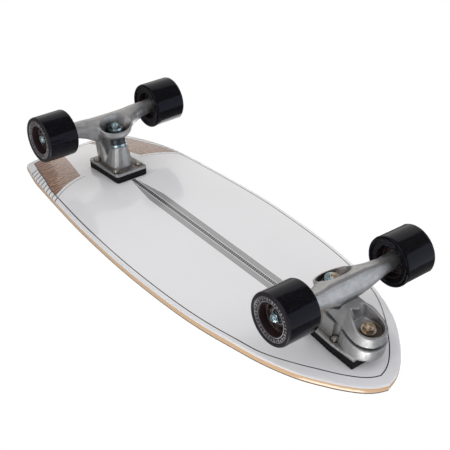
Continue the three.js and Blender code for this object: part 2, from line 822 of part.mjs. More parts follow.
function rearBase() {
  const rootLevel = fitGap - plateThickness;
  const plate = prism(rearPlatePlan(), -plateThickness, 0);
  const seatRing = ellipse('z', [0, 0, seatDepth], seatRadius, seatRadius, bodySides);
  const footMiddle = [0, towerInboard, rootLevel];
  const foot = ellipse('z', footMiddle, towerHalfAcross, towerHalfAlong, bodySides, towerRoundness);
  const tower = loft([placed(seatRing, steerInRearSeat), foot]);
  const truckToSeat = rearSeat.clone().invert();
  const [footOuter, footInner, footHalf] = lugFoot;
  const lug = loft([
    ...lugSections.map(([z, outer, inner, half]) => placed(squareRing(half, outer, inner, z), truckToSeat)),
    squareRing(footHalf, footOuter, footInner, rootLevel),
  ]);
  const pinHole = rod('z', pinFitRadius, 0, cutOverrun);
  const headRoom = rod('z', kingpinHeadRoom, seatDepth + rearPinDepth, 2 * cutOverrun);
  const tools = [pinHole, headRoom, pivotSocket()].map((tool) => tool.applyMatrix4(steerInRearSeat));
  const seatTop = box(-cutOverrun, cutOverrun, -seatRadius, cutOverrun, -cutOverrun, seatDepth)
    .applyMatrix4(steerInRearSeat);
  return piece('rear_baseplate', cut(
    joined(plate, tower, lug), ...tools, seatTop, ...nutRooms(), ...boltHoles(false)), 'castAluminium');
}

// Front base: a plate, a round nose under the swing arm, and a box that holds the spring
function frontPlatePlan() {
  const shape = new THREE.Shape();
  shape.moveTo(frontPlateTipHalf, frontPlateOuter);
  shape.lineTo(frontPlateHalf, frontPlateTaperStart);
  const across = frontPlateHalf - plateCorner;
  const along = frontPlateInner - plateCorner;
  shape.absarc(across, along, plateCorner, 0, quarterTurn);
  shape.absarc(-across, along, plateCorner, quarterTurn, Math.PI);
  shape.lineTo(-frontPlateHalf, frontPlateTaperStart);
  shape.lineTo(-frontPlateTipHalf, frontPlateOuter);
  return shape;
}

function frontBasePlan() {
  const shape = new THREE.Shape();
  shape.moveTo(baseNoseRadius, 0);
  shape.quadraticCurveTo(baseNoseRadius, armFlankBend, baseFlankHalf, baseFlankFrom);
  shape.lineTo(baseFlankHalf, cutOverrun);
  shape.lineTo(-baseFlankHalf, cutOverrun);
  shape.lineTo(-baseFlankHalf, baseFlankFrom);
  shape.quadraticCurveTo(-baseNoseRadius, armFlankBend, -baseNoseRadius, 0);
  shape.absarc(0, 0, baseNoseRadius, Math.PI, 2 * Math.PI);
  return shape;
}

function frontBase() {
  const wide = 2 * cutOverrun;
  const block = prism(frontBasePlan(), swingGap, cutOverrun, noseSegments);
  const housing = solid(block.applyMatrix4(swingInSeat));
  const seatSide = box(-wide, wide, -wide, wide, fitGap - plateThickness, wide);
  const innerEnd = box(-wide, wide, 0, wide, -wide, wide);
  const plate = prism(frontPlatePlan(), -plateThickness, 0);
  const body = cut(housing, seatSide, innerEnd).add(solid(plate));
  const boltTools = [
    rod('z', swingBoltRadius + fitGap, 0, cutOverrun),
    rod('z', thrustBearingRadius + fitGap, 0, swingGap + thrustBearingDepth),
    rod('z', swingBoltHeadRoom, swingBoltHeadFrom - fitGap, cutOverrun, bodySides),
  ].map((tool) => tool.applyMatrix4(swingInSeat));
  const springBore = rod('y', springBoreRadius, -springBoreDepth, cutOverrun)
    .translate(0, 0, springBoreHeight);
  return piece('front_baseplate', cut(
    body, ...boltTools, springBore, ...nutRooms(), ...boltHoles(true)), 'castAluminium');
}

// Spring, rod and plug along Y in the front base, in the seat's frame
function springTube() {
  const start = -springBoreDepth + springEndRoom + rodHeadThickness + springWire;
  const end = -springPlugThickness - 2 * fitGap - springWire;
  const steps = springTurns * springCoilSides;
  const up = new THREE.Vector3(0, 1, 0);
  const rings = [];
  for (let step = 0; step <= steps; step += 1) {
    const angle = (2 * Math.PI * step) / springCoilSides;
    const out = new THREE.Vector3(Math.cos(angle), 0, Math.sin(angle));
    const centre = out.clone().multiplyScalar(springCoilRadius)
      .addScaledVector(up, start + ((end - start) * step) / steps);
    rings.push(Array.from({ length: springWireSides }, (_, i) => {
      const turn = (2 * Math.PI * i) / springWireSides;
      return centre.clone()
        .addScaledVector(out, springWire * Math.cos(turn))
        .addScaledVector(up, springWire * Math.sin(turn))
        .toArray();
    }));
  }
  const pitch = (end - start) / springTurns;
  console.log(`return spring: least gap to itself ${(pitch - 2 * springWire).toFixed(2)} mm`);
  return loft(rings);
}

function springPieces() {
  const back = -springBoreDepth + springEndRoom - fitGap;
  const head = back + rodHeadThickness;
  const fit = springBoreRadius - fitGap;
  const plugFrom = -springPlugThickness;
  const pin = turned('y', [
    [0, back], [fit, back], [fit, head], [rodRadius, head],
    [rodRadius, plugFrom - fitGap], [0, plugFrom - fitGap],
  ]);
  return [
    piece('return_spring', springTube().translate(0, 0, springBoreHeight), 'springSteel'),
    piece('spring_rod', pin.translate(0, 0, springBoreHeight), 'zincSteel'),
    piece('spring_plug', rod('y', fit, plugFrom, 0).translate(0, 0, springBoreHeight), 'blackSteel'),
  ];
}

// Swing arm, in the swing frame: a round nose with a deep pocket, a shoulder round the
// pivot cup, and a seat under the kingpin
const armSeat = new THREE.Vector3(0, 0, seatDepth).applyMatrix4(steerInSwing);

function armPlan(nose, flank, end) {
  const shape = new THREE.Shape();
  shape.moveTo(nose, 0);
  shape.quadraticCurveTo(nose, armFlankBend, flank, armShoulderFrom);
  shape.absarc(0, armSeat.y, end, 0, Math.PI);
  shape.lineTo(-flank, armShoulderFrom);
  shape.quadraticCurveTo(-nose, armFlankBend, -nose, 0);
  shape.absarc(0, 0, nose, Math.PI, 2 * Math.PI);
  return shape;
}

function pocketPlan(nose, half, end) {
  const shape = new THREE.Shape();
  shape.moveTo(nose, 0);
  shape.quadraticCurveTo(nose, (end - half) / 2, half, end - pocketCorner);
  shape.quadraticCurveTo(half, end, half - pocketCorner, end);
  shape.lineTo(pocketCorner - half, end);
  shape.quadraticCurveTo(-half, end, -half, end - pocketCorner);
  shape.quadraticCurveTo(-nose, (end - half) / 2, -nose, 0);
  shape.absarc(0, 0, nose, Math.PI, 2 * Math.PI);
  return shape;
}

// Everything over the arm's rim, which rises from the nose to the shoulder
function armLid() {
  const middle = (armRiseStart + armShoulderFrom) / 2;
  const shape = new THREE.Shape();
  shape.moveTo(-cutOverrun, -armNoseHeight);
  shape.lineTo(armRiseStart, -armNoseHeight);
  shape.bezierCurveTo(
    middle, -armNoseHeight, middle, -armShoulderHeight, armShoulderFrom, -armShoulderHeight);
  shape.lineTo(2 * cutOverrun, -armShoulderHeight);
  shape.lineTo(2 * cutOverrun, -cutOverrun);
  shape.lineTo(-cutOverrun, -cutOverrun);
  return sidePrism(shape, cutOverrun);
}

// Room over the arm from the pivot cup's mouth to the kingpin's seat, in the steering frame
function armWaist() {
  const shape = new THREE.Shape();
  shape.moveTo(pivotMouth, -cutOverrun);
  shape.lineTo(pivotMouth, armWaistHeight);
  shape.lineTo(armWaistEnd, seatDepth);
  shape.lineTo(cutOverrun, seatDepth);
  shape.lineTo(cutOverrun, -cutOverrun);
  return sidePrism(shape, cutOverrun);
}

function swingArm() {
  const top = -armShoulderHeight - fitGap;
  const lipPlan = armPlan(
    armNoseRadius - armLipInset, armFlankHalf - armLipInset, armEndRadius - armLipInset);
  const rimPlan = armPlan(armNoseRadius - armDraft, armRimFlankHalf, armEndRadius - armDraft);
  const outer = loft([
    planRing(lipPlan, 0, noseSegments),
    planRing(lipPlan, -armLipHeight, noseSegments),
    planRing(armPlan(armNoseRadius, armFlankHalf, armEndRadius), -armLipHeight, noseSegments),
    planRing(rimPlan, top, noseSegments),
  ]);
  const block = rod('z', seatRadius, seatDepth, seatDepth + armBlockDepth, bodySides);
  const pocket = loft([
    planRing(pocketPlan(pocketRimNose, pocketRimHalf, pocketRimEnd), top - fitGap, noseSegments),
    planRing(
      pocketPlan(pocketFloorNose, pocketFloorHalf, pocketFloorEnd), -armPocketFloor, noseSegments),
  ]);
  const rib = rod('z', pocketRibRadius, -cutOverrun, cutOverrun)
    .translate(0, pocketRibInboard, 0);
  const steerTools = [
    armWaist(),
    pivotSocket(),
    rod('y', stemRoomRadius, pivotMouth, cutOverrun),
    rod('z', pinFitRadius, 0, cutOverrun),
  ].map((tool) => tool.applyMatrix4(steerInSwing));
  return piece('swing_arm', cut(
    joined(outer, block.applyMatrix4(steerInSwing)).subtract(cut(solid(pocket), rib)),
    armLid(), ...steerTools,
    rod('z', swingBoltRadius + fitGap, -cutOverrun, cutOverrun),
    rod('z', thrustBearingRadius + 2 * fitGap, -thrustBearingDepth, cutOverrun),
  ), 'castAluminium');
}

function swingSet() {
  const washerTop = -armPocketFloor - fitGap;
  const nutTop = washerTop - swingWasherThickness - fitGap;
  const nutEnd = nutTop - swingNutHeight;
  const inner = swingBoltRadius + fitGap;
  const pinEnd = nutEnd - kingpinTail;
  const pin = bolt(swingBoltRadius, swingBoltFlats, swingBoltHeadHeight, pinEnd, swingBoltHeadFrom);
  const washer = ring('z', inner, swingWasherRadius, washerTop - swingWasherThickness, washerTop);
  const thrust = ring(
    'z', inner, thrustBearingRadius, fitGap - thrustBearingDepth, swingGap + thrustBearingDepth - fitGap);
  return [
    piece('swing_bolt', pin, 'goldZinc'),
    piece('swing_bolt_nut', nut(kingpinNutFlats, inner, nutEnd, nutTop), 'goldZinc'),
    piece('swing_bolt_washer', washer, 'goldZinc'),
    piece('swing_thrust_bearing', thrust, 'blackSteel'),
  ];
}

function frontTruck() {
  return frameGroup(
    truckMatrix(true),
    frameGroup(
      frontSeat, riser('front_riser', frontPlatePlan(), true), frontBase(), ...springPieces(),
      ...deckBolts('front', true)),
    frameGroup(swingMatrix, swingArm(), ...swingSet()),
    frameGroup(steerMatrix, ...steeringSet('front', armBlockDepth, 'goldZinc')),
    ...runningGear('front', true),
  );
}

function rearTruck() {
  return frameGroup(
    truckMatrix(false),
    frameGroup(
      rearSeat, riser('rear_riser', rearPlatePlan(), false), rearBase(), ...deckBolts('rear', false)),
    frameGroup(steerMatrix, ...steeringSet('rear', rearPinDepth, 'zincSteel')),
    ...runningGear('rear', false),
  );
}

const board = new THREE.Group();
board.add(...deckPieces(), frontTruck(), rearTruck());

export default board;
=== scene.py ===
"""Looks of the surf skateboard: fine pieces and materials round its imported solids.

The nose points along -Y and the wheels stand on Z = 0. Shapes are worked out in
millimetres and stored in metres.
"""
import math
from functools import partialmethod

import bmesh
import bpy
import numpy as np
from mathutils import Matrix, Vector


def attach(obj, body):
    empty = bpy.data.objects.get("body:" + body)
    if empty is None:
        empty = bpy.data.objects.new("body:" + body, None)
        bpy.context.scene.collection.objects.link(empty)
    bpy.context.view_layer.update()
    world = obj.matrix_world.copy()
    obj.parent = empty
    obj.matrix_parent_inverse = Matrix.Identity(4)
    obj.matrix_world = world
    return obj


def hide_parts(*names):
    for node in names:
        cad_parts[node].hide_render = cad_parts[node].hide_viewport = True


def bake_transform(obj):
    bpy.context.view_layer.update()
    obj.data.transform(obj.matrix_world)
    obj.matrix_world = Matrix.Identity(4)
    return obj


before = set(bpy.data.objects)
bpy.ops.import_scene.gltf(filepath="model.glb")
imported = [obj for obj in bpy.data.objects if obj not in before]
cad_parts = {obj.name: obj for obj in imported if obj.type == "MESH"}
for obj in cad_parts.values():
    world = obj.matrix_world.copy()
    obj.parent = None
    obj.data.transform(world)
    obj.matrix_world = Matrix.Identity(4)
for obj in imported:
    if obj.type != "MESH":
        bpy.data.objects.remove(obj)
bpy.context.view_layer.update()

MM = 0.001
TAU = 2 * math.pi
TINY = 1e-6
ENDS = ("front", "rear")

# All lengths from here on are in millimetres. The solids keep FIT_GAP between them. Pieces
# of the scene reach into it, so that no light shows through
FIT_GAP = 0.3
NEAR = 0.05
NUT_REACH = 0.2

# Deck: the same outline and curves as the solid. Shares run from nose to tail, and from
# the middle to the rail
DECK_LENGTH = 746
DECK_WIDTH = 273.6
DECK_THICKNESS = 10.5
DECK_UNDER = 112.8
DECK_HALF = DECK_LENGTH / 2
PLY = DECK_THICKNESS / 7
RAIL_INSET = 2.2
FLAT_SHARE = 0.3
NOSE_LIFT, NOSE_SHARE, NOSE_POWER = 22.9, 0.235, 1.75
TAIL_LIFT, TAIL_SHARE, TAIL_POWER = 27, 0.26, 1.85
GRIP_THICKNESS = 1.0
GRIP_INSET = 1.5
OUTLINE = [
    (0, 0), (0.008, 0.14), (0.026, 0.29), (0.06, 0.47), (0.11, 0.657), (0.19, 0.819),
    (0.32, 0.952), (0.49, 1), (0.64, 0.972), (0.79, 0.897), (0.9, 0.8), (0.962, 0.705),
    (0.985, 0.662), (0.994, 0.6), (0.999, 0.42), (1, 0),
]
CONCAVE = [(0, 0), (0.2, 5.8), (0.5, 6), (0.75, 9), (0.88, 6.5), (1, 2.5)]

# Print on the deck's underside
STRIPES_FROM, STRIPES_TO = -228, 184
FINE_LINES, RIBBON_TICKS = 2.4, 4.2
PATCH_FROM, PATCH_MIDDLE = 247.5, 45
GRAIN_DASHES = 6.4
MARKS_FROM, MARKS_TO, MARKS_APART = 281, 384, 10.6

# Wheels and axles
WHEEL_RADIUS = 35
WHEEL_OFFSET = 97.5
AXLE_Y = {"front": -283.5, "rear": 251.5}
AXLE_RADIUS = 4
AXLE_NUT_HEIGHT = 7.5
BEARING_WIDTH = 7
BEARING_SPREAD = 10.3
BEARING_FACE = BEARING_SPREAD / 2 + BEARING_WIDTH
SPOKES = 8
PRINT_TICKS = 36

# Frames of the trucks: lean in degrees, then place inboard and height over the axle
SEATS = {"front": (5.5, 16.5, 72.8), "rear": (4.5, 25.5, 70.8)}
STEER = (17, 25, 19.5)
SWING = (10, -43, 53.3)

# Nuts: flats, bore, height and collar height. Threads: length and pitch
AXLE_NUT = (12.7, 4.05, 7.4, 1.9)
LOCK_NUT = (14.3, 4.8, 6.5, 1.6)
DECK_NUT = (9.5, 2.45, 4.8, 1.5)
LOCK_NUT_HEIGHT = LOCK_NUT[2]
DECK_NUT_HEIGHT = DECK_NUT[2]
AXLE_THREAD = (16.2, 1.06)
KINGPIN_THREAD = (14, 1.06)
SWING_THREAD = (12, 1.25)
DECK_THREAD = (8, 0.8)
THREAD_LAP = 0.2
HEAD_HEIGHT, HEAD_BORE = 6, 0.6
PIN_RADIUS = 4.75
PIN_FIT = PIN_RADIUS + FIT_GAP
PIN_TAIL = 1.5

# Steering sets, along the kingpin from the middle of the hanger's web
WEB_HALF = 2.5
LOWER_BUSH, UPPER_BUSH = 11.5, 8.0
BUSH_RADIUS, BUSH_BULGE, BUSH_BEVEL = 11.5, 0.9, 0.5
CUP_RADIUS, CUP_WALL, CUP_THICKNESS, CUP_ROOM, CUP_DEPTH = 12.7, 0.8, 1.6, 1.8, 4.4
WASHER_RADIUS, WASHER_THICKNESS, WASHER_LIP = 12.0, 1.6, 0.25
SEAT_DEPTH = WEB_HALF + LOWER_BUSH + CUP_ROOM + 3 * FIT_GAP
PIVOT_REACH, PIVOT_BALL = 40, 4.8
PIVOT_CUP_RADIUS, PIVOT_CUP_WALL, PIVOT_CUP_DEPTH = 7.2, 1.2, 12

# Swing bolt and its bearing, along the bolt from the swing arm's face on the base
SWING_GAP = 1.6
POCKET_FLOOR = 8.5
SWING_WASHER_RADIUS, SWING_WASHER_THICKNESS = 10, 1.8
SWING_HEAD_FROM, SWING_HEAD_FLATS = 13, 17
THRUST_RADIUS, THRUST_DEPTH = 14, 2.4

# Return spring, lengthwise in the front base
SPRING_HEIGHT = -14.3
SPRING_DEPTH = 41
SPRING_END_ROOM = 1.5
SPRING_WIRE, SPRING_RADIUS, SPRING_TURNS = 1.2, 5.6, 7
PLUG_THICKNESS, ROD_HEAD = 3, 2

# Deck bolts
BOLTS_ACROSS, BOLTS_ALONG = 41.3, 54
DECK_BOLT_RADIUS, DECK_BOLT_TAIL = 2.4, 1.2
NUT_FLOOR = 1.8

# Hollows of the castings, where shade is painted, seen along the swing bolt and the kingpins
POCKET_RADIUS, BOWL_RADIUS = 20, 29

# Baseplates' upper faces, where dirt and shade are painted, in the seats' frames: half width,
# then outer and inner end
PLATE_TOPS = {"front": (26, -64, 39), "rear": (25.4, -39.4, 38.4)}

# Castings and risers that keep their solids: material, voxel size and smoothing steps
REFINED = {
    "front_hanger": ("cast", 0.8, 8),
    "rear_hanger": ("cast", 0.8, 8),
    "swing_arm": ("cast", 0.65, 8),
    "front_baseplate": ("cast", 0.75, 8),
    "rear_baseplate": ("cast", 0.7, 8),
    "front_riser": ("riser", 0.8, 4),
    "rear_riser": ("riser", 0.8, 4),
}


def rgb(red, green, blue):
    """A colour as it looks on a screen, 0 to 255, as the shader's linear one."""
    def linear(value):
        value /= 255
        return value / 12.92 if value <= 0.04045 else ((value + 0.055) / 1.055) ** 2.4
    return (linear(red), linear(green), linear(blue), 1)


# Frames, from a truck's own, with Y inboard and Z towards the deck, to the world
def leaned(degrees, inboard, height):
    lean = Matrix.Rotation(-math.radians(degrees), 4, "X")
    return Matrix.Translation((0, inboard, height)) @ lean


def truck(end):
    half_turn = Matrix.Rotation(0 if end == "front" else math.pi, 4, "Z")
    return Matrix.Translation((0, AXLE_Y[end], WHEEL_RADIUS)) @ half_turn


def steer(end):
    return truck(end) @ leaned(*STEER)


def seat(end):
    return truck(end) @ leaned(*SEATS[end])


def swing():
    return truck("front") @ leaned(*SWING)


class Graph:
    """A tree of shader nodes, added to by short calls."""

    def __init__(self, tree):
        self.tree = tree

    def put(self, node, socket, value):
        if isinstance(value, bpy.types.NodeSocket):
            self.tree.links.new(value, node.inputs[socket])
        elif value is not None:
            node.inputs[socket].default_value = value

    def node(self, kind, inputs=(), **settings):
        node = self.tree.nodes.new(kind)
        for name, value in settings.items():
            setattr(node, name, value)
        for socket, value in dict(inputs).items():
            self.put(node, socket, value)
        return node

    def math(self, operation, a, b=None):
        return self.node("ShaderNodeMath", {0: a, 1: b}, operation=operation).outputs[0]

    plus = partialmethod(math, "ADD")
    minus = partialmethod(math, "SUBTRACT")
    over = partialmethod(math, "DIVIDE")
    smaller = partialmethod(math, "MINIMUM")
    larger = partialmethod(math, "MAXIMUM")
    absolute = partialmethod(math, "ABSOLUTE")
    sine = partialmethod(math, "SINE")

    def times(self, first, *others):
        for other in others:
            first = self.math("MULTIPLY", first, other)
        return first

    def wave(self, value, length):
        """Sine from -1 to 1 that repeats after length."""
        return self.sine(self.times(value, TAU / length))

    def length(self, a, b):
        return self.math("SQRT", self.plus(self.times(a, a), self.times(b, b)))

    def step(self, value, low, high, out_low=0.0, out_high=1.0):
        """Smooth change from out_low to out_high while value goes from low to high."""
        return self.node("ShaderNodeMapRange", {
            "Value": value, "From Min": low, "From Max": high, "To Min": out_low,
            "To Max": out_high}, interpolation_type="SMOOTHSTEP").outputs[0]

    def share(self, value, low, high):
        """Straight change from 0 to 1 while value goes from low to high."""
        inputs = {"Value": value, "From Min": low, "From Max": high}
        return self.node("ShaderNodeMapRange", inputs).outputs[0]

    def band(self, value, low, high, soft=0.15):
        """1 where value is between low and high, 0 elsewhere."""
        rise = self.step(value, self.minus(low, soft), self.plus(low, soft))
        fall = self.step(value, self.minus(high, soft), self.plus(high, soft))
        return self.minus(rise, fall)

    def mix(self, share, a, b):
        """Colour a, turning into b as share goes from 0 to 1."""
        inputs = {"Factor": share, 6: a, 7: b}
        return self.node("ShaderNodeMix", inputs, data_type="RGBA").outputs[2]

    def mix_shaders(self, share, a, b):
        inputs = {0: share, 1: a.outputs[0], 2: b.outputs[0]}
        return self.node("ShaderNodeMixShader", inputs).outputs[0]

    def parts(self, vector):
        return self.node("ShaderNodeSeparateXYZ", {0: vector}).outputs

    def join(self, x, y, z):
        return self.node("ShaderNodeCombineXYZ", {0: x, 1: y, 2: z}).outputs[0]

    def noise(self, vector, size, detail=3.0, roughness=0.55, distortion=0.0):
        """Noise from 0 to 1, whose blobs are about size millimetres across."""
        return self.node("ShaderNodeTexNoise", {
            "Vector": vector, "Scale": 1 / size, "Detail": detail, "Roughness": roughness,
            "Distortion": distortion}).outputs["Fac"]

    def cells(self, vector, size):
        inputs = {"Vector": vector, "Scale": 1 / size}
        return self.node("ShaderNodeTexVoronoi", inputs).outputs["Distance"]

    def attribute(self, name, output="Fac"):
        return self.node("ShaderNodeAttribute", attribute_name=name).outputs[output]


class Material(Graph):
    """A material round one principled shader, whose settings are given by keyword."""

    def __init__(self, name, **settings):
        self.data = bpy.data.materials.new(name)
        self.data.use_nodes = True
        super().__init__(self.data.node_tree)
        self.shader = self.tree.nodes["Principled BSDF"]
        for socket, value in settings.items():
            self.put(self.shader, socket.replace("_", " "), value)

    def place(self):
        """Where a point is at rest, in millimetres."""
        where = self.node("ShaderNodeTexCoord").outputs["Object"]
        inputs = {0: where, "Scale": 1 / MM}
        return self.node("ShaderNodeVectorMath", inputs, operation="SCALE").outputs["Vector"]

    def seen_from(self, place, matrix):
        """A place in the frame that matrix puts into the world, in millimetres."""
        back = matrix.inverted()
        inputs = {"Vector": place, "Location": back.translation, "Rotation": back.to_euler()}
        return self.node("ShaderNodeMapping", inputs, vector_type="POINT").outputs[0]

    def turned_back(self, normal, matrix):
        """A normal in the frame that matrix puts into the world."""
        inputs = {"Vector": normal, "Rotation": matrix.inverted().to_euler()}
        return self.node("ShaderNodeMapping", inputs, vector_type="NORMAL").outputs[0]

    def finish(self, colour, roughness, height, depth):
        """Colour and roughness, and a bump whose height of 1 stands depth proud."""
        inputs = {"Height": height, "Distance": depth * MM, "Strength": 1.0}
        bump = self.node("ShaderNodeBump", inputs).outputs[0]
        for socket, value in (("Base Color", colour), ("Roughness", roughness), ("Normal", bump)):
            self.put(self.shader, socket, value)
        return self.data


# Materials
def cavity_shade(m, where):
    """Where shade is painted: 1 deep in the swing arm's pocket and in the hangers' bowls, 0 on
    outer faces. The bowls' inner walls are told from the outer ones by facing the kingpin."""
    x, y, z = m.parts(m.seen_from(where, swing()))
    reach = m.plus(m.length(x, m.smaller(y, 0)), m.times(m.larger(y, 0), 0.26))
    within = m.step(reach, POCKET_RADIUS + 0.4, POCKET_RADIUS - 0.4)
    within = m.times(within, m.step(y, 17, 3))
    deep = m.times(within, m.band(z, -11, 3, 4))
    normal = m.node("ShaderNodeTexCoord").outputs["Normal"]
    for end in ENDS:
        x, y, z = m.parts(m.seen_from(where, steer(end)))
        facing_x, facing_y, _ = m.parts(m.turned_back(normal, steer(end)))
        outward = m.plus(m.times(facing_x, x), m.times(facing_y, y))
        radius = m.length(x, y)
        inward = m.step(m.over(outward, radius), -0.05, -0.45)
        near = m.step(radius, BOWL_RADIUS + 2, BOWL_RADIUS - 2)
        near = m.times(near, m.band(z, -25, 1, 3), m.step(z, -18, -8, 0.36, 0.8))
        deep = m.larger(deep, m.times(inward, near))
    return deep


def plate_top_dirt_and_shade(m, where):
    """1 on the baseplates' upper faces, where dirt and shade are painted, inside a bright rim
    round their edges.
    """
    found = 0
    for end, (half, outer, inner) in PLATE_TOPS.items():
        x, y, z = m.parts(m.seen_from(where, seat(end)))
        across = m.step(m.absolute(x), half + 0.7, half - 0.7)
        face = m.times(across, m.band(y, outer, inner, 0.7), m.band(z, -6.2, -2, 0.8))
        found = m.larger(found, face)
    return found


def cast_aluminium():
    """Tumbled casting: soft mottling, fine pits, edges paler partly from polish and partly as a
    painted highlight, and brown, dull painted shade in creases and hollows and, with dirt, on
    the baseplates' tops.
    """
    m = Material("cast_aluminium", Metallic=1.0)
    where = m.place()
    edge = m.node("ShaderNodeNewGeometry").outputs["Pointiness"]
    mottle = m.noise(where, 9, 4)
    grain = m.noise(where, 0.9, 3, 0.65)
    pits = m.step(m.noise(where, 1.7, 2, 0.5), 0.62, 0.72)
    shade = m.mix(mottle, rgb(152, 151, 150), rgb(192, 192, 193))
    # Painted shade: creases and recesses, where pointiness is low, turn darker and browner
    shade = m.mix(m.step(edge, 0.43, 0.495), m.mix(0.6, shade, rgb(84, 78, 72)), shade)
    # Edges, where pointiness is high, turn paler: partly polish, partly a painted highlight
    shade = m.mix(m.step(edge, 0.52, 0.6), shade, rgb(214, 214, 214))
    shade = m.mix(m.times(pits, 0.25), shade, rgb(112, 110, 108))
    # Painted shade, with some dirt, darkens the baseplates' upper faces
    shade = m.mix(m.times(plate_top_dirt_and_shade(m, where), 0.55), shade, rgb(92, 74, 64))
    # Painted shade, dull brown, deep in the swing arm's pocket and the hangers' bowls
    shade = m.mix(cavity_shade(m, where), shade, rgb(78, 64, 56))
    roughness = m.step(m.noise(where, 5, 3), 0.3, 0.7, 0.42, 0.56)
    return m.finish(shade, roughness, m.minus(grain, m.times(pits, 0.7)), 0.06)


def plated(name, pale, dark, roughness, tint=None):
    """Plated steel: slight streaks, and a tint that shifts across the surface."""
    m = Material(name, Metallic=1.0)
    where = m.place()
    shade = m.mix(m.noise(where, 2.5, 3), dark, pale)
    if tint is not None:
        shade = m.mix(m.step(m.noise(where, 6, 2), 0.42, 0.62, 0, 0.7), shade, tint)
    scratch = m.noise(where, 0.35, 2, 0.7)
    rough = m.step(scratch, 0.3, 0.7, roughness - 0.06, roughness + 0.1)
    return m.finish(shade, rough, scratch, 0.012)


def moulded(name, colour, worn, roughness, grain, depth, **settings):
    """Moulded rubber or plastic with a fine grain and lighter scuffs."""
    m = Material(name, **settings)
    where = m.place()
    scuffs = m.step(m.noise(where, 7, 4), 0.5, 0.75)
    fine = m.noise(where, grain, 3, 0.6)
    shade = m.mix(m.times(scuffs, 0.5), colour, worn)
    rough = m.step(scuffs, 0, 1, roughness, roughness + 0.12)
    return m.finish(shade, rough, fine, depth)


def wheel_print(m, local, radius, angle):
    """Share of pale ink: a ring of ticks between two thin rings, worn in places."""
    ticks = m.sine(m.times(angle, PRINT_TICKS))
    every_other = m.sine(m.times(angle, PRINT_TICKS / 2))
    inner = m.step(every_other, -0.2, 0.2, 25.8, 24.4)
    row = m.times(m.band(radius, inner, 28.0), m.step(ticks, -0.1, 0.15))
    rings = m.plus(m.band(radius, 22.6, 23.6, 0.1), m.band(radius, 28.5, 29.1, 0.1))
    worn = m.step(m.noise(local, 0.8, 3, 0.6), 0.25, 0.45, 0.5, 1)
    faded = m.step(m.noise(local, 16, 1), 0.35, 0.6, 0.45, 1)
    return m.times(m.larger(row, rings), worn, faded)


def wheel_urethane():
    """Smoke-black cast urethane with a pale printed ring on its outer face. The wheel
    value is a point's place in the wheel, with X outwards along the axle."""
    m = Material("wheel_urethane", Specular_IOR_Level=0.16, IOR=1.5,
                 Specular_Tint=rgb(222, 218, 255))
    local = m.attribute("wheel", "Vector")
    x, y, z = m.parts(local)
    radius = m.length(y, z)
    face = m.step(x, 21.5, 22.5)
    ink = m.times(wheel_print(m, local, radius, m.math("ARCTAN2", y, z)), face)
    smoke = m.mix(m.noise(local, 14, 2), rgb(5, 4, 5), rgb(9, 8, 8))
    # Painted sheen: the outer face is lighter than the rest of the urethane
    smoke = m.mix(face, smoke, rgb(38, 35, 36))
    smoke = m.mix(m.step(radius, 22.6, 22.0), smoke, rgb(42, 31, 32))
    tread = m.times(m.step(radius, 33.5, 34.9), m.step(m.noise(local, 3, 4), 0.45, 0.7))
    smoke = m.mix(m.times(tread, 0.2), smoke, rgb(38, 36, 37))
    rough = m.plus(m.times(tread, 0.08), m.step(face, 0, 1, 0.12, 0.34))
    shade = m.mix(ink, smoke, rgb(158, 155, 157))
    return m.finish(shade, rough, m.noise(local, 1.2, 2), 0.01)


def grip_tape():
    """Black silicon-carbide grit on a sheet, with a faint sparkle painted as paler, glossier
    specks.
    """
    m = Material("grip_tape", Specular_IOR_Level=0.35)
    where = m.place()
    grit = m.cells(where, 0.55)
    clump = m.noise(where, 2.2, 3)
    spark = m.step(m.noise(where, 0.5, 1), 0.68, 0.74)
    dust = m.step(m.noise(where, 60, 4), 0.5, 0.8, 0, 0.35)
    shade = m.mix(clump, rgb(24, 24, 25), rgb(40, 40, 42))
    shade = m.mix(dust, shade, rgb(58, 56, 54))
    # Painted glints: paler specks of grit
    shade = m.mix(m.times(spark, 0.4), shade, rgb(120, 120, 124))
    return m.finish(shade, m.step(spark, 0, 1, 0.92, 0.5), grit, 0.25)


def stripes(m, x, y, side):
    """Share and colour of the stripes down the middle: a dark ribbon with pale ticks
    between two bands of fine lines, tapered at both ends."""
    taper = m.smaller(m.share(y, STRIPES_FROM, -174), m.share(y, STRIPES_TO, 120))
    reach = m.plus(3.8, m.times(taper, 10.2))
    inside = m.step(side, reach, m.minus(reach, 0.3))
    inside = m.times(inside, m.band(y, STRIPES_FROM, STRIPES_TO))
    fine = m.wave(m.minus(side, 4.4), FINE_LINES)
    lines = m.mix(m.step(fine, -0.5, 0.6), rgb(182, 182, 183), rgb(100, 100, 102))
    tick = m.wave(m.plus(y, m.times(x, 0.5)), RIBBON_TICKS)
    ribbon = m.mix(m.step(tick, 0.45, 0.7), rgb(24, 24, 26), rgb(142, 142, 144))
    ribbon = m.mix(m.band(side, -0.3, 0.3, 0.08), ribbon, rgb(110, 110, 112))
    middle = m.mix(m.step(side, 3.0, 3.25), ribbon, rgb(226, 225, 226))
    return inside, m.mix(m.step(side, 4.2, 4.45), middle, lines)


def wood_grain(m, where, x, y):
    """Brown wood, streaked across the board, with short dark dashes."""
    streaks = m.noise(m.join(m.times(x, 0.16), y, 0.0), 1.9, 4, 0.65, 0.6)
    drift = m.noise(m.join(m.times(x, 0.6), y, 5.0), 16, 2)
    waves = m.wave(m.plus(y, m.times(drift, 12)), GRAIN_DASHES)
    breaks = m.noise(m.join(m.times(x, 0.4), m.times(y, 0.55), 3.0), 3.0, 1, 0.5)
    dashes = m.times(m.step(waves, -0.35, 0.25), m.step(breaks, 0.36, 0.46))
    wood = m.mix(m.step(streaks, 0.32, 0.68), rgb(140, 92, 64), rgb(180, 132, 98))
    cloud = m.step(m.noise(where, 26, 2), 0.35, 0.7, 0, 0.4)
    wood = m.mix(cloud, wood, rgb(172, 126, 98))
    return m.mix(m.times(dashes, 0.92), wood, rgb(76, 48, 34))


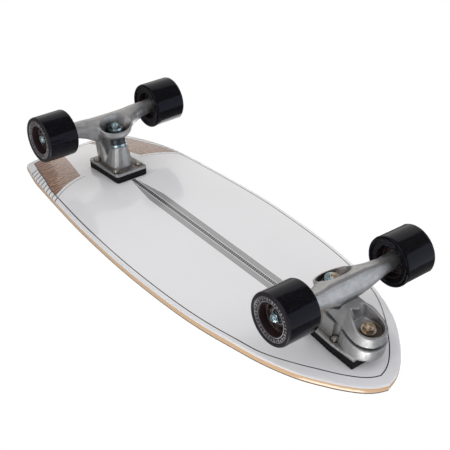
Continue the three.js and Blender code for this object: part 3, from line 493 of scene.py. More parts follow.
def border(m, y, side, rim, line):
    """Share of ink in the pinline round the outline, at the distance in that line gives,
    and in the short marks across the tail's border."""
    pin = m.band(rim, m.minus(line, 0.8), m.plus(line, 0.8))
    slant = m.plus(y, m.times(side, 0.56))
    along = m.times(m.minus(slant, MARKS_FROM + 1.7), TAU / MARKS_APART)
    marks = m.step(m.math("COSINE", along), 0.76, 0.88)
    marks = m.times(marks, m.band(slant, MARKS_FROM, MARKS_TO))
    marks = m.times(marks, m.math("LESS_THAN", rim, line), m.step(side, 58, 59))
    return m.larger(pin, marks)


def maple_plies(m, x, y, height):
    """Pale maple with long fibres, every other ply darker, and thin glue lines."""
    layers = m.over(height, PLY)
    fibre = m.join(m.times(x, 0.2), m.times(y, 0.2), m.times(height, 3))
    maple = m.mix(m.noise(fibre, 1.3, 4, 0.6), rgb(200, 162, 122), rgb(226, 196, 160))
    odd = m.math("PINGPONG", m.math("FLOOR", layers), 1)
    maple = m.mix(m.times(odd, 0.3), maple, rgb(192, 144, 106))
    glue = m.times(m.band(m.math("FRACT", layers), -0.5, 0.07, 0.03), 0.5)
    return m.mix(glue, maple, rgb(132, 92, 62))


def deck_print():
    """White lacquered sheet with stripes, wood-grain tail patches and a border; maple
    plies show at the rails. The rim value is the distance in from the outline, and the
    height value is measured through the deck from its underside."""
    m = Material("deck_print", Coat_Weight=0.6, Coat_Roughness=0.08, Specular_IOR_Level=0.5)
    where = m.place()
    x, y, _ = m.parts(where)
    side = m.absolute(x)
    rim = m.attribute("rim")
    height = m.attribute("height")
    cloud = m.noise(where, 120, 2)
    shade = m.mix(cloud, rgb(226, 225, 226), rgb(233, 232, 234))
    inside, striped = stripes(m, x, y, side)
    shade = m.mix(inside, shade, striped)

    # The pinline keeps further from the rim at both ends. The patches have a curved front
    # edge with a thin line before it, and a slanting inner edge
    line = m.plus(m.step(y, -235, -310, 7.2, 15.5), m.step(y, 235, 300, 0, 5.5))
    from_middle = m.larger(m.minus(side, PATCH_MIDDLE), 0)
    past_front = m.plus(m.minus(y, PATCH_FROM), m.times(from_middle, from_middle, 0.0046))
    inner_edge = m.minus(side, m.minus(57, m.times(m.minus(y, PATCH_FROM - 1.1), 0.2626)))
    patch = m.times(m.step(past_front, -0.3, 0.3), m.step(inner_edge, -0.3, 0.3))
    patch = m.times(patch, m.step(rim, line, m.plus(line, 0.3)))
    shade = m.mix(patch, shade, wood_grain(m, where, x, y))
    front_line = m.times(m.band(past_front, -6.9, -5.7), m.step(side, 52, 53))
    ink = m.larger(border(m, y, side, rim, line), front_line)
    shade = m.mix(ink, shade, rgb(38, 40, 44))

    shade = m.mix(m.step(height, 1.9, 2.2), shade, maple_plies(m, x, y, height))
    return m.finish(shade, m.step(cloud, 0, 1, 0.2, 0.3), m.noise(where, 1.6, 2), 0.006)


MATERIALS = {
    "cast": cast_aluminium(),
    "zinc": plated("zinc_steel", rgb(192, 202, 206), rgb(126, 142, 148), 0.2,
                   rgb(142, 176, 186)),
    "gold": plated("gold_zinc", rgb(202, 184, 158), rgb(142, 120, 96), 0.32,
                   rgb(188, 164, 146)),
    "bolt": plated("bolt_zinc", rgb(208, 203, 194), rgb(140, 126, 112), 0.26,
                   rgb(190, 182, 164)),
    "dark_steel": plated("dark_steel", rgb(96, 98, 102), rgb(58, 59, 62), 0.34),
    "spring": plated("spring_steel", rgb(172, 174, 178), rgb(128, 130, 134), 0.32),
    "race": plated("bearing_steel", rgb(206, 208, 210), rgb(176, 178, 182), 0.34),
    "riser": moulded("riser_rubber", rgb(13, 13, 15), rgb(26, 26, 28), 0.7, 0.5, 0.05,
                     Specular_IOR_Level=0.2),
    "bushing": moulded("bushing_urethane", rgb(22, 30, 42), rgb(44, 54, 66), 0.34, 2.5, 0.02,
                       Coat_Weight=0.2),
    "nylon": moulded("core_nylon", rgb(58, 45, 44), rgb(98, 80, 78), 0.26, 0.9, 0.03),
    "shield": moulded("bearing_shield", rgb(30, 22, 22), rgb(52, 40, 40), 0.42, 0.7, 0.02),
    "collar": moulded("nut_collar", rgb(176, 192, 196), rgb(132, 152, 160), 0.4, 0.8, 0.02),
    "gold_collar": moulded("gold_nut_collar", rgb(190, 164, 122), rgb(150, 124, 88), 0.4,
                           0.8, 0.02),
    "tyre": wheel_urethane(),
    "grip": grip_tape(),
    "deck": deck_print(),
}


def added(name, data):
    """A new object of the scene."""
    made = bpy.data.objects.new(name, data)
    bpy.context.scene.collection.objects.link(made)
    return made


# Meshes. A shape is its vertices, its faces, and the faces' material indices
def piece(name, shape, matrix, materials, body, replaced, angle=35):
    """A closed mesh in the frame that matrix places, which stands for a CAD node. Where
    body is None, it is left attached to no body."""
    vertices, faces, indices = shape
    mesh = bpy.data.meshes.new(name)
    mesh.from_pydata([(matrix @ Vector(v)) * MM for v in vertices], [], faces)
    for material in materials:
        mesh.materials.append(MATERIALS[material])
    mesh.polygons.foreach_set("material_index", indices)
    work = bmesh.new()
    work.from_mesh(mesh)
    bmesh.ops.remove_doubles(work, verts=work.verts, dist=0.002 * MM)
    bmesh.ops.recalc_face_normals(work, faces=work.faces)
    work.to_mesh(mesh)
    work.free()
    mesh.polygons.foreach_set("use_smooth", [True] * len(mesh.polygons))
    mesh.set_sharp_from_angle(angle=math.radians(angle))
    made = added(name, mesh)
    if body is not None:
        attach(made, body)
    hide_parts(replaced)
    return made


def store(made, name, kind, field, values):
    """Keeps a value for each vertex, for the materials."""
    made.data.attributes.new(name, kind, "POINT").data.foreach_set(field, values)


def rounded(profile, radius, steps):
    """The closed profile with each corner off the axis turned into an arc."""
    out, tags = [], []
    for i, (point, tag) in enumerate(profile):
        here = Vector(point)
        before = Vector(profile[i - 1][0]) - here
        after = Vector(profile[(i + 1) % len(profile)][0]) - here
        reach = min(radius, before.length * 0.45, after.length * 0.45)
        if reach < 0.01 or abs(here.x) < TINY:
            out.append(point)
            tags.append(tag)
            continue
        a, b = here + before.normalized() * reach, here + after.normalized() * reach
        for k in range(steps + 1):
            t = k / steps
            spot = a * (1 - t) ** 2 + here * 2 * t * (1 - t) + b * t ** 2
            out.append(tuple(spot))
            tags.append(tag if k == steps else profile[i - 1][1])
    return out, tags


def lathe(profile, sides, axis="z", radius=0.0, steps=4, warp=None):
    """The closed profile turned round an axis, with its corners rounded by radius. A point
    is (radius, along), or a pair of that and the material of the part that starts there."""
    profile = [p if isinstance(p[0], tuple) else (p, 0) for p in profile]
    if radius:
        points, tags = rounded(profile, radius, steps)
    else:
        points, tags = zip(*profile)
    vertices, faces, indices = [], [], []
    for s in range(sides):
        angle = TAU * s / sides
        for k, (r, along) in enumerate(points):
            if warp:
                r, along = warp(k, r, along, angle)
            u, v = r * math.cos(angle), r * math.sin(angle)
            vertices.append({"x": (along, u, v), "y": (v, along, u), "z": (u, v, along)}[axis])
    count = len(points)
    for s in range(sides):
        t = (s + 1) % sides
        for k in range(count):
            n = (k + 1) % count
            if points[k][0] < TINY and points[n][0] < TINY:
                continue
            faces.append((s * count + k, s * count + n, t * count + n, t * count + k))
            indices.append(tags[k])
    return vertices, faces, indices


def ring(inner, outer, low, high, sides, axis="z", radius=0.0, tag=0):
    """A ring between two places along its axis, or a rod where inner is 0."""
    corners = [(inner, low), (outer, low), (outer, high), (inner, high)]
    return lathe([(corner, tag) for corner in corners], sides, axis, radius)


def merged(*shapes):
    vertices, faces, indices = [], [], []
    for v, f, m in shapes:
        start = len(vertices)
        vertices += v
        faces += [tuple(i + start for i in face) for face in f]
        indices += m
    return vertices, faces, indices


def moved(shape, matrix):
    return [tuple(matrix @ Vector(v)) for v in shape[0]], shape[1], shape[2]


def lifted(shape, height):
    return moved(shape, Matrix.Translation((0, 0, height)))


def flipped(shape, height):
    """The shape turned over, so that what was at Z = 0 is at height and it hangs down."""
    return moved(shape, Matrix.Translation((0, 0, height)) @ Matrix.Rotation(math.pi, 4, "X"))


def laid(shape, across, sign=1):
    """The shape turned from Z to X, or to -X, and moved along X."""
    turn = Matrix.Rotation(sign * math.pi / 2, 4, "Y")
    return moved(shape, Matrix.Translation((across, 0, 0)) @ turn)


def hex_nut(flats, bore, height, collar=0.0):
    """A hex nut or head that stands on Z = 0, with chamfered corners. The rim of its
    collar, at the top, has the second material."""
    inner = flats / 2
    face = inner * 0.995
    top = height - collar
    chamfer = math.tan(math.radians(28))
    rows = [
        (bore, 0.4), (bore + 0.4, 0), (inner - 0.25, 0), (face, 0.1), (inner, 0.1),
        (inner, top - 0.1), (face, top - 0.1),
    ]
    inwards = {4: 1, 5: -1}
    if collar:
        edge = inner * 0.86
        rows += [
            (edge + 0.25, top), (edge, top + 0.3), (edge, height - 0.5),
            ((edge - 0.6, height), 1), ((bore + 0.5, height - 0.1), 1), (bore, height - 0.6),
        ]
    else:
        rows += [(inner - 0.25, top), (bore + 0.4, top), (bore, top - 0.4)]

    def hexagon(k, radius, along, angle):
        if k in inwards:
            part = (angle + math.pi / 6) % (math.pi / 3) - math.pi / 6
            radius = inner / math.cos(part)
            along += inwards[k] * (radius - face) * chamfer
        return radius, along

    return lathe(rows, 96, warp=hexagon)


def capped(vertices, sides):
    """A shape of rings of that many vertices, one after the other, with flat ends."""
    last = len(vertices) - sides
    faces = []
    for low in range(0, last, sides):
        for s in range(sides):
            t = (s + 1) % sides
            faces.append((low + s, low + t, low + sides + t, low + sides + s))
    faces.append(tuple(range(sides))[::-1])
    faces.append(tuple(range(last, last + sides)))
    return vertices, faces, [0] * len(faces)


def threaded(radius, length, pitch, sides=40):
    """A threaded rod from Z = 0 up, with a chamfer at its top."""
    depth = 0.5 * pitch
    rows = max(6, int(length / pitch * 6))
    vertices = []
    for k in range(rows + 1):
        z = length * k / rows
        room = min(1, (length - z) / (1.5 * depth))
        for s in range(sides):
            turn = s / sides
            phase = (z / pitch - turn) % 1
            groove = depth * (1 - abs(2 * phase - 1)) * 0.9
            r = radius - groove - (1 - room) * depth * 1.2
            vertices.append((r * math.cos(TAU * turn), r * math.sin(TAU * turn), z))
    return capped(vertices, sides)


def bolt_end(radius, tail, thread, sides=40):
    """A thread that points down to tail, and the height where the plain shaft starts."""
    length, pitch = thread
    end = flipped(threaded(radius, length, pitch, sides), tail + length)
    return end, tail + length - THREAD_LAP


def wire(points, radius, sides=12):
    """A round wire through points, with flat ends."""
    points = [Vector(p) for p in points]
    vertices = []
    side = None
    for i, point in enumerate(points):
        ahead = (points[min(i + 1, len(points) - 1)] - points[max(i - 1, 0)]).normalized()
        side = (side - ahead * side.dot(ahead)) if side else ahead.orthogonal()
        side = side.normalized()
        other = ahead.cross(side)
        for s in range(sides):
            angle = TAU * s / sides
            around = side * math.cos(angle) + other * math.sin(angle)
            vertices.append(tuple(point + around * radius))
    return capped(vertices, sides)


# Deck
def spline(points, samples):
    """The curve through the control points: samples of it that crowd towards its ends,
    and a dense row of points."""
    p = np.array(points, float)
    dense = []
    for i in range(len(p) - 1):
        before, after = p[max(i - 1, 0)], p[min(i + 2, len(p) - 1)]
        a, b = p[i], p[i + 1]
        v0, v1 = (b - before) / 2, (after - a) / 2
        cubic, square = 2 * a - 2 * b + v0 + v1, 3 * b - 3 * a - 2 * v0 - v1
        for t in np.linspace(0, 1, 60, endpoint=False):
            dense.append(cubic * t ** 3 + square * t ** 2 + v0 * t + a)
    dense = np.array(dense + [p[-1]])
    lengths = np.linalg.norm(np.diff(dense, axis=0), axis=1)
    run = np.concatenate([[0], np.cumsum(lengths)])
    at = (1 - np.cos(np.linspace(0, math.pi, samples))) / 2 * run[-1]
    return np.stack([np.interp(at, run, dense[:, k]) for k in range(2)], 1), dense


HALF_OUTLINE, DENSE_OUTLINE = spline(
    [(along * DECK_LENGTH - DECK_HALF, half * DECK_WIDTH / 2) for along, half in OUTLINE], 260)


def ramp(share, start):
    return np.clip((share - start) / (1 - start), 0, None)


def underside(x, y):
    """Height of the deck's underside over the ground."""
    share = np.clip((y + DECK_HALF) / DECK_LENGTH, 0, 1)
    half = np.maximum(np.interp(y, DENSE_OUTLINE[:, 0], DENSE_OUTLINE[:, 1]), 5)
    nose = NOSE_LIFT * ramp(1 - share, 1 - NOSE_SHARE) ** NOSE_POWER
    tail = TAIL_LIFT * ramp(share, 1 - TAIL_SHARE) ** TAIL_POWER
    places = np.array(CONCAVE)
    spot = np.clip(np.searchsorted(places[:, 0], share), 1, len(places) - 1)
    low, high = places[spot - 1], places[spot]
    t = np.clip((share - low[..., 0]) / (high[..., 0] - low[..., 0]), 0, 1)
    depth = low[..., 1] + (high[..., 1] - low[..., 1]) * t * t * (3 - 2 * t)
    across = np.minimum(ramp(np.abs(x) / half, FLAT_SHARE), 1)
    return DECK_UNDER + nose + tail + depth * across ** 2


def rim_distance(x, y):
    """Distance in from the deck's outline."""
    edge = np.concatenate([DENSE_OUTLINE, (DENSE_OUTLINE * (1, -1))[::-1]])
    best = np.full(len(x), 1e9)
    for (ay, ax), (dy, dx) in zip(edge[:-1], np.diff(edge, axis=0)):
        length = dx * dx + dy * dy
        if length < 1e-12:
            continue
        t = np.clip(((y - ay) * dy + (x - ax) * dx) / length, 0, 1)
        best = np.minimum(best, np.hypot(y - ay - t * dy, x - ax - t * dx))
    return best


def board_sheet(name, inset, start, end, rail, material, node, across=56, rail_steps=10):
    """A sheet between two heights over the deck's underside, with round rails."""
    along = np.gradient(HALF_OUTLINE, axis=0)
    along /= np.linalg.norm(along, axis=1)[:, None]
    inward = np.stack([along[:, 1], -along[:, 0]], 1)
    inward[0], inward[-1] = (1, 0), (-1, 0)
    middle, half_height = (start + end) / 2, (end - start) / 2
    turn = np.linspace(-math.pi / 2, math.pi / 2, rail_steps + 1)
    rows = []
    for (y, half), (iy, ih) in zip(HALF_OUTLINE, inward):
        def spot(depth):
            return y + iy * (inset + depth), max(half + ih * (inset + depth), 0.0)
        inner_y, inner_half = spot(rail)
        xs = np.linspace(-inner_half, inner_half, across + 1)
        under = [(x, inner_y, start) for x in xs]
        side = []
        for angle in turn[1:-1]:
            rail_y, rail_half = spot(rail * (1 - math.cos(angle)))
            side.append((rail_half, rail_y, middle + half_height * math.sin(angle)))
        top = [(x, inner_y, end) for x in xs[::-1]]
        other_side = [(-x, ry, h) for x, ry, h in side[::-1]]
        rows.append(under + side + top + other_side)
    count = len(rows[0])
    x, y, height = np.array(rows).reshape(-1, 3).T
    vertices = np.stack([x, y, underside(x, y) + height], 1)
    faces = []
    for low in range(0, (len(rows) - 1) * count, count):
        for k in range(count):
            n = (k + 1) % count
            faces.append((low + k, low + n, low + count + n, low + count + k))
    shape = vertices.tolist(), faces, [0] * len(faces)
    made = piece(name, shape, Matrix.Identity(4), [material], "board", node, angle=50)
    x, y, z = (np.array([v.co for v in made.data.vertices]) / MM).T
    store(made, "rim", "FLOAT", "value", rim_distance(x, y).astype(np.float32))
    store(made, "height", "FLOAT", "value", (z - underside(x, y)).astype(np.float32))


def make_board():
    board_sheet("deck_plies", 0, 0, DECK_THICKNESS, RAIL_INSET, "deck", "deck")
    low = DECK_THICKNESS + NEAR
    high = DECK_THICKNESS + FIT_GAP + GRIP_THICKNESS
    board_sheet("grip_sheet", GRIP_INSET, low, high, 0.5, "grip", "grip_tape",
                rail_steps=4)


# Wheels, with X outwards along the axle
def make_tyre(place, body, matrix):
    outer = [
        (20.35, 13.0), (21.4, 22.6), (22.2, 23.3), (28.7, 23.3), (30.3, 25.5), (32.6, 25.5),
        (34.2, 24.7), (WHEEL_RADIUS, 22.6),
    ]
    shape = lathe(outer + [(r, -x) for r, x in reversed(outer)], 112, "x", 0.9)
    tyre = piece(f"{place}_urethane", shape, matrix, ["tyre"], body, f"{place}_tyre")
    back = matrix.inverted()
    local = [c for v in tyre.data.vertices for c in back @ (v.co / MM)]
    store(tyre, "wheel", "FLOAT_VECTOR", "vector", local)


def make_core(place, body, matrix):
    """The core's two rims and its recessed web, whose outer face rises into spokes."""
    core = [
        (8.5, -4.85), (11.3, -4.85), (11.3, -13.4), (12.9, -13.4), (13.4, -9.5),
        (17.4, -9.5), (18.2, -13.4), (20.2, -13.4), (20.2, 13.4), (18.2, 13.4),
        (17.4, 6.2), (13.4, 6.2), (12.9, 13.4), (11.3, 13.4), (11.3, 4.85), (8.5, 4.85),
    ]

    def spoked(_, radius, x, angle):
        if 13.15 < radius < 17.85 and 3 < x < 12.5:
            spoke = 0.5 + 0.5 * math.cos(SPOKES * angle)
            lift = min(1, max(0, (spoke - 0.62) / 0.2))
            x += (11.8 - x) * lift * lift * (3 - 2 * lift)
        return radius, x

    shape = lathe(core, 128, "x", 0.5, 3, spoked)
    piece(f"{place}_core_spokes", shape, matrix, ["nylon"], body, f"{place}_wheel_core",
          angle=50)


def make_bearing(place, body, matrix, row, sign):
    """Two steel races with a recessed shield between them, domed on the outer side."""
    half = BEARING_WIDTH / 2
    rings = []
    for low, high, face, tag in ((9.3, 11.0, half, 0), (6.1, 9.4, half - 0.55, 1),
                                 (4.3, 6.2, half, 0)):
        rings.append(ring(low, high, -face, face, 64, "x", 0.22, tag))
    dome = [(6.3, half - 0.6), (7.0, half - 0.25), (8.6, half - 0.25), (9.2, half - 0.6)]
    rings.append(lathe([(corner, 1) for corner in dome], 64, "x", 0.2))
    middle = sign * (BEARING_SPREAD + BEARING_WIDTH) / 2
    mirror = Matrix.Scale(sign, 4, (1, 0, 0))
    shape = moved(merged(*rings), Matrix.Translation((middle, 0, 0)) @ mirror)
    piece(f"{place}_{row}_race", shape, matrix, ["race", "shield"], body,
          f"{place}_{row}_bearing")


def make_wheel(end, side):
    sign = 1 if side == "left" else -1
    matrix = Matrix.Translation((sign * WHEEL_OFFSET, AXLE_Y[end], WHEEL_RADIUS))
    matrix = matrix @ Matrix.Scale(sign, 4, (1, 0, 0))
    place = f"{end}_{side}"
    body = f"{place}_wheel"
    make_tyre(place, body, matrix)
    make_core(place, body, matrix)
    make_bearing(place, body, matrix, "outer", 1)
    make_bearing(place, body, matrix, "inner", -1)
    washer = ring(4.2, 7.2, 0, 0.28, 48, radius=0.08)
    shape = laid(merged(lifted(hex_nut(*AXLE_NUT), 0.3), washer), BEARING_FACE + 0.02)
    piece(f"{place}_lock_nut", shape, matrix, ["zinc", "collar"], f"{end}_hanger",
          f"{place}_axle_nut")


def make_axle(end):
    half = WHEEL_OFFSET + BEARING_FACE + FIT_GAP + AXLE_NUT_HEIGHT + PIN_TAIL
    length, pitch = AXLE_THREAD
    plain = half - length + THREAD_LAP
    shaft = ring(0, AXLE_RADIUS, -plain, plain, 40, "x")
    thread = threaded(AXLE_RADIUS, length, pitch)
    right = laid(thread, half - length)
    left = laid(thread, length - half, -1)
    piece(f"{end}_axle_bar", merged(shaft, right, left), truck(end), ["zinc"],
          f"{end}_hanger", f"{end}_axle")


# Steering sets
def make_bushing(end, side, node, hanger_end, base_end):
    """A bulged bushing between the hanger's web and a seat on the base. Each of its ends
    lies at the face it touches."""
    matrix = steer(end)
    low, high = sorted((hanger_end, base_end))
    mouth = BUSH_RADIUS - BUSH_BEVEL
    profile = [(PIN_FIT, low), (mouth, low)]
    for t in (0.08, 0.2, 0.35, 0.5, 0.65, 0.8, 0.92):
        bulge = BUSH_BULGE * math.sin(math.pi * t)
        profile.append((BUSH_RADIUS + bulge, low + (high - low) * t))
    profile += [(mouth, high), (PIN_FIT, high)]
    made = piece(f"{end}_{side}_bushing", lathe(profile, 72), matrix, ["bushing"], None,
                 f"{end}_{node}_bushing", angle=60)
    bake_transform(made)


def headed_pin(tail, thread, head_from, flats):
    """A kingpin or swing bolt, with a hex head at its top."""
    end, plain = bolt_end(PIN_RADIUS, tail, thread)
    shaft = ring(0, PIN_RADIUS, plain, head_from, 40)
    head = lifted(hex_nut(flats, HEAD_BORE, HEAD_HEIGHT), head_from)
    return merged(end, shaft, head)


def make_steering(end, shoulder, finish):
    """A truck's bushings, cups and kingpin, whose head is shoulder away from the seat."""
    base = "swing_arm" if end == "front" else "board"
    matrix = steer(end)
    lower_end = WEB_HALF + LOWER_BUSH + 2 * FIT_GAP - NEAR
    upper_end = -WEB_HALF - UPPER_BUSH - 2 * FIT_GAP + NEAR
    make_bushing(end, "boardside", "lower", WEB_HALF + NEAR, lower_end)
    make_bushing(end, "roadside", "upper", -WEB_HALF - NEAR, upper_end)

    floor = SEAT_DEPTH - FIT_GAP
    inside, lip = floor - CUP_THICKNESS, SEAT_DEPTH - CUP_DEPTH
    wall = CUP_RADIUS - CUP_WALL
    cup = lathe([(PIN_FIT, inside), (wall, inside), (wall, lip), (CUP_RADIUS, lip),
                 (CUP_RADIUS, floor), (PIN_FIT, floor)], 72, "z", 0.3)
    piece(f"{end}_boardside_cup", cup, matrix, ["zinc"], base, f"{end}_lower_cup_washer")
    back = -WEB_HALF - 2 * FIT_GAP - UPPER_BUSH
    outer, rim = back - WASHER_THICKNESS, back + WASHER_THICKNESS
    wall = WASHER_RADIUS - WASHER_LIP
    washer = lathe([(PIN_FIT, outer), (WASHER_RADIUS, outer), (WASHER_RADIUS, rim),
                    (wall, rim), (wall, back), (PIN_FIT, back)], 72, "z", 0.25)
    piece(f"{end}_roadside_cup", washer, matrix, ["zinc"], base, f"{end}_upper_cup_washer")
    nut_from = outer - FIT_GAP
    nut = flipped(hex_nut(*LOCK_NUT), nut_from + FIT_GAP / 2)
    piece(f"{end}_kingpin_lock_nut", nut, matrix, ["zinc", "collar"], base,
          f"{end}_kingpin_nut")
    pin = headed_pin(nut_from - LOCK_NUT_HEIGHT - PIN_TAIL, KINGPIN_THREAD,
                     SEAT_DEPTH + shoulder + FIT_GAP, LOCK_NUT[0])
    piece(f"{end}_kingpin_bolt", pin, matrix, [finish], base, f"{end}_kingpin")

    floor = -PIVOT_REACH - PIVOT_BALL - FIT_GAP
    bottom = floor - PIVOT_CUP_WALL
    mouth = bottom + PIVOT_CUP_DEPTH
    bore = PIVOT_BALL + FIT_GAP
    cup = lathe([(0, bottom), (PIVOT_CUP_RADIUS, bottom), (PIVOT_CUP_RADIUS, mouth),
                 (bore, mouth + 0.4), (bore, floor), (0, floor)], 48, "y", 0.5)
    piece(f"{end}_pivot_bush", cup, matrix, ["bushing"], base, f"{end}_pivot_cup")


def make_swing_bolt():
    """The bolt that the swing arm turns on, with its nut in the arm's pocket."""
    matrix = swing()
    top = -POCKET_FLOOR - FIT_GAP
    bottom = top - SWING_WASHER_THICKNESS
    washer = ring(PIN_FIT, SWING_WASHER_RADIUS, bottom, top, 64, radius=0.35)
    piece("swing_washer_ring", washer, matrix, ["bolt"], "board", "swing_bolt_washer")
    nut_top = bottom - FIT_GAP
    nut = flipped(hex_nut(*LOCK_NUT), nut_top + NUT_REACH)
    piece("swing_lock_nut", nut, matrix, ["gold", "gold_collar"], "board",
          "swing_bolt_nut")
    pin = headed_pin(nut_top - LOCK_NUT_HEIGHT - PIN_TAIL, SWING_THREAD, SWING_HEAD_FROM,
                     SWING_HEAD_FLATS)
    piece("swing_pin", pin, matrix, ["gold"], "board", "swing_bolt")


def make_thrust_bearing():
    """Two steel washers with a dark cage between them, under the swing arm."""
    low, high = FIT_GAP - THRUST_DEPTH, SWING_GAP + THRUST_DEPTH - FIT_GAP
    race, cage_radius = 1.1, THRUST_RADIUS - 0.8
    rings = []
    for a, b, edge, tag in ((low, low + race, THRUST_RADIUS, 0),
                            (low + race, high - race, cage_radius, 1),
                            (high - race, high, THRUST_RADIUS, 0)):
        rings.append(ring(PIN_FIT, edge, a, b, 64, "z", 0.15, tag))
    piece("swing_thrust_races", merged(*rings), swing(), ["race", "shield"], "board",
          "swing_thrust_bearing")


def make_spring():
    """The return spring on its rod, behind a plug in the front base."""
    matrix = seat("front") @ Matrix.Translation((0, 0, SPRING_HEIGHT))
    back = -SPRING_DEPTH + SPRING_END_ROOM
    start = back + ROD_HEAD + SPRING_WIRE
    end = -PLUG_THICKNESS - 2 * FIT_GAP - SPRING_WIRE
    per_turn = 40
    steps = SPRING_TURNS * per_turn
    points = []
    for step in range(steps + 1):
        angle = TAU * step / per_turn
        along = start + (end - start) * step / steps
        points.append((SPRING_RADIUS * math.cos(angle), along, SPRING_RADIUS * math.sin(angle)))
    piece("return_coil", wire(points, SPRING_WIRE), matrix, ["spring"], "board",
          "return_spring")
    back -= FIT_GAP
    front = -PLUG_THICKNESS - FIT_GAP
    rod = lathe([(0, back), (7.3, back), (7.3, back + ROD_HEAD), (3, back + ROD_HEAD),
                 (3, front), (0, front)], 48, "y", 0.3)
    piece("coil_guide", rod, matrix, ["zinc"], "board", "spring_rod")
    plug = lathe([(0, -PLUG_THICKNESS), (7.45, -PLUG_THICKNESS), (7.45, -0.2),
                  (5.2, -0.2), (4.6, -1.0), (0, -1.0)], 48, "y", 0.25)
    piece("spring_cap", plug, matrix, ["dark_steel"], "board", "spring_plug")


def deck_top_height(matrix, x, y):
    """Height of the grip tape's top over a seat, at a place in the seat's frame."""
    height = 0.0
    for _ in range(6):
        spot = matrix @ Vector((x, y, height))
        top = underside(np.array([spot.x]), np.array([spot.y]))[0]
        height += float(top) + DECK_THICKNESS + FIT_GAP + GRIP_THICKNESS - spot.z
    return height


def make_deck_bolts(end):
    """Four bolts from the deck's top through the base, each with its nut."""
    matrix = seat(end)
    nut_top = -NUT_FLOOR - FIT_GAP
    nut = flipped(hex_nut(*DECK_NUT), nut_top + NUT_REACH)
    tail = nut_top - DECK_NUT_HEIGHT - DECK_BOLT_TAIL
    thread, plain = bolt_end(DECK_BOLT_RADIUS, tail, DECK_THREAD, 32)
    for sx in (-1, 1):
        for sy in (-1, 1):
            x, y = sx * BOLTS_ACROSS / 2, sy * BOLTS_ALONG / 2
            top = deck_top_height(matrix, x, y)
            shaft = lathe([(0, plain), (DECK_BOLT_RADIUS, plain), (DECK_BOLT_RADIUS, top - 3),
                           (4.6, top + 0.1), (4.4, top + 0.35), (0, top + 0.45)], 48)
            shape = moved(merged(nut, thread, shaft), Matrix.Translation((x, y, 0)))
            side = "left" if (sx > 0) == (end == "front") else "right"
            name = f"{end}_{side}_{'inner' if sy > 0 else 'outer'}"
            piece(f"{name}_screw", shape, matrix, ["bolt", "collar"], "board",
                  f"{name}_deck_bolt")


def refine(name, material, voxel, smoothing):
    """Keeps a CAD node's solid, with a finer skin and softened edges."""
    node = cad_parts[name]
    node.data.materials.clear()
    node.data.materials.append(MATERIALS[material])
    remesh = node.modifiers.new("refine", "REMESH")
    remesh.mode = "VOXEL"
    remesh.voxel_size = voxel * MM
    remesh.use_smooth_shade = True
    soften = node.modifiers.new("soften", "SMOOTH")
    soften.factor = 0.5
    soften.iterations = smoothing


make_board()
for end in ENDS:
    make_wheel(end, "left")
    make_wheel(end, "right")
    make_axle(end)
    make_deck_bolts(end)
make_steering("front", 8, "gold")
make_steering("rear", 20, "zinc")
make_swing_bolt()
make_thrust_bearing()
make_spring()
for name, settings in REFINED.items():
    refine(name, *settings)


# Camera, light and floor, in metres
LAMPS = [
    # name, place, target, size, power, colour, whether glossy surfaces mirror it
    ("key_below", (1.2, -0.1, -1.75), (0, -0.05, 0.1), (2.6, 2), 23, (0.97, 0.98, 1), True),
    ("cool_front", (-1.2, -1.9, -0.1), (0, -0.2, 0.08), (2.6, 2), 17, (0.86, 0.91, 1), True),
    ("nose_fill", (-0.5, -1.3, -1.5), (0, -0.3, 0.1), (1.6, 1.6), 9, (0.98, 0.98, 1), False),
    ("warm_rear", (-1.4, 1.4, -1), (0, 0, 0.1), (2.4, 2.4), 15, (1, 0.96, 0.91), True),
    ("side", (1.7, -0.4, 0.1), (0, -0.1, 0.08), (1.2, 1.2), 9, (1, 1, 1), True),
    ("key_above", (0.9, -1.1, 1.9), (0, 0, 0.1), (1.4, 1.4), 38, (1, 1, 1), True),
    ("fill_above", (-1.4, 0.8, 1.5), (0, 0, 0.1), (1.6, 1.6), 22, (1, 1, 1), True),
]
FLOOR_REACH = 6
FLOOR_DROP = 0.0004
FLOOR_FADE = (0.5, 1.1)


def make_camera():
    """The photograph's view, from below, of a board that stands on its wheels."""
    data = bpy.data.cameras.new("camera")
    data.sensor_width = 36
    data.lens = 81.654
    data.clip_start, data.clip_end = 0.01, 50
    camera = added("camera", data)
    camera.location = (0.74724, -0.96938, -0.70389)
    camera.rotation_euler = [math.radians(a) for a in (-123.306, 1.1993, -141.795)]
    bpy.context.scene.camera = camera


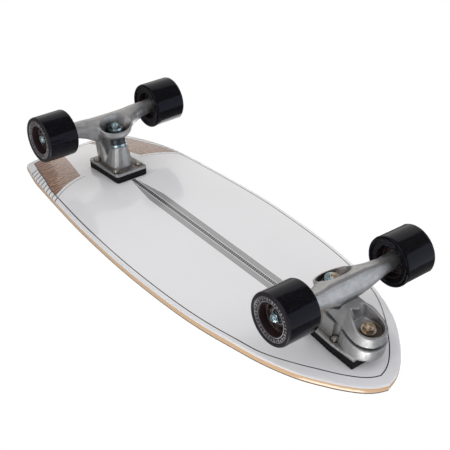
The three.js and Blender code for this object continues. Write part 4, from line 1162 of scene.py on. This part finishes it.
def make_lamp(name, place, target, size, power, colour, mirrored):
    data = bpy.data.lights.new(name, "AREA")
    data.shape = "RECTANGLE"
    data.size, data.size_y = size
    data.energy = power
    data.color = colour
    lamp = added(name, data)
    lamp.location = place
    aim = Vector(target) - Vector(place)
    lamp.rotation_euler = aim.to_track_quat("-Z", "Y").to_euler()
    lamp.visible_glossy = mirrored


def make_world():
    """White to the camera, and a softer, cooler light on the object."""
    world = bpy.data.worlds.new("world")
    world.use_nodes = True
    bpy.context.scene.world = world
    graph = Graph(world.node_tree)
    graph.tree.nodes.clear()
    path = graph.node("ShaderNodeLightPath").outputs
    seen = graph.larger(path["Is Camera Ray"], path["Is Transmission Ray"])
    white = graph.node("ShaderNodeBackground", {"Color": (1, 1, 1, 1), "Strength": 1})
    soft = graph.node("ShaderNodeBackground", {"Color": (0.98, 0.985, 1, 1), "Strength": 0.32})
    graph.node("ShaderNodeOutputWorld", {"Surface": graph.mix_shaders(seen, soft, white)})


def make_floor():
    """A pale floor round the object, which the camera sees only from above, so that the
    board's underside can be seen."""
    corners = [(x * FLOOR_REACH, y * FLOOR_REACH, -FLOOR_DROP)
               for x, y in ((-1, -1), (1, -1), (1, 1), (-1, 1))]
    mesh = bpy.data.meshes.new("floor")
    mesh.from_pydata(corners, [], [(0, 1, 2, 3)])
    floor = added("floor", mesh)
    m = Material("floor", Base_Color=(0.86, 0.86, 0.87, 1), Roughness=0.9)
    from_above = m.minus(1, m.node("ShaderNodeNewGeometry").outputs["Backfacing"])
    seen = m.node("ShaderNodeLightPath").outputs["Is Camera Ray"]
    where = m.node("ShaderNodeTexCoord").outputs["Object"]
    far = m.node("ShaderNodeVectorMath", {0: where}, operation="LENGTH").outputs["Value"]
    shown = m.times(from_above, seen, m.step(far, *FLOOR_FADE, 1, 0))
    clear = m.node("ShaderNodeBsdfTransparent")
    surface = m.mix_shaders(shown, clear, m.shader)
    m.put(m.tree.nodes["Material Output"], "Surface", surface)
    mesh.materials.append(m.data)


make_camera()
make_world()
make_floor()
for lamp_settings in LAMPS:
    make_lamp(*lamp_settings)
bpy.context.scene.view_settings.view_transform = "Standard"
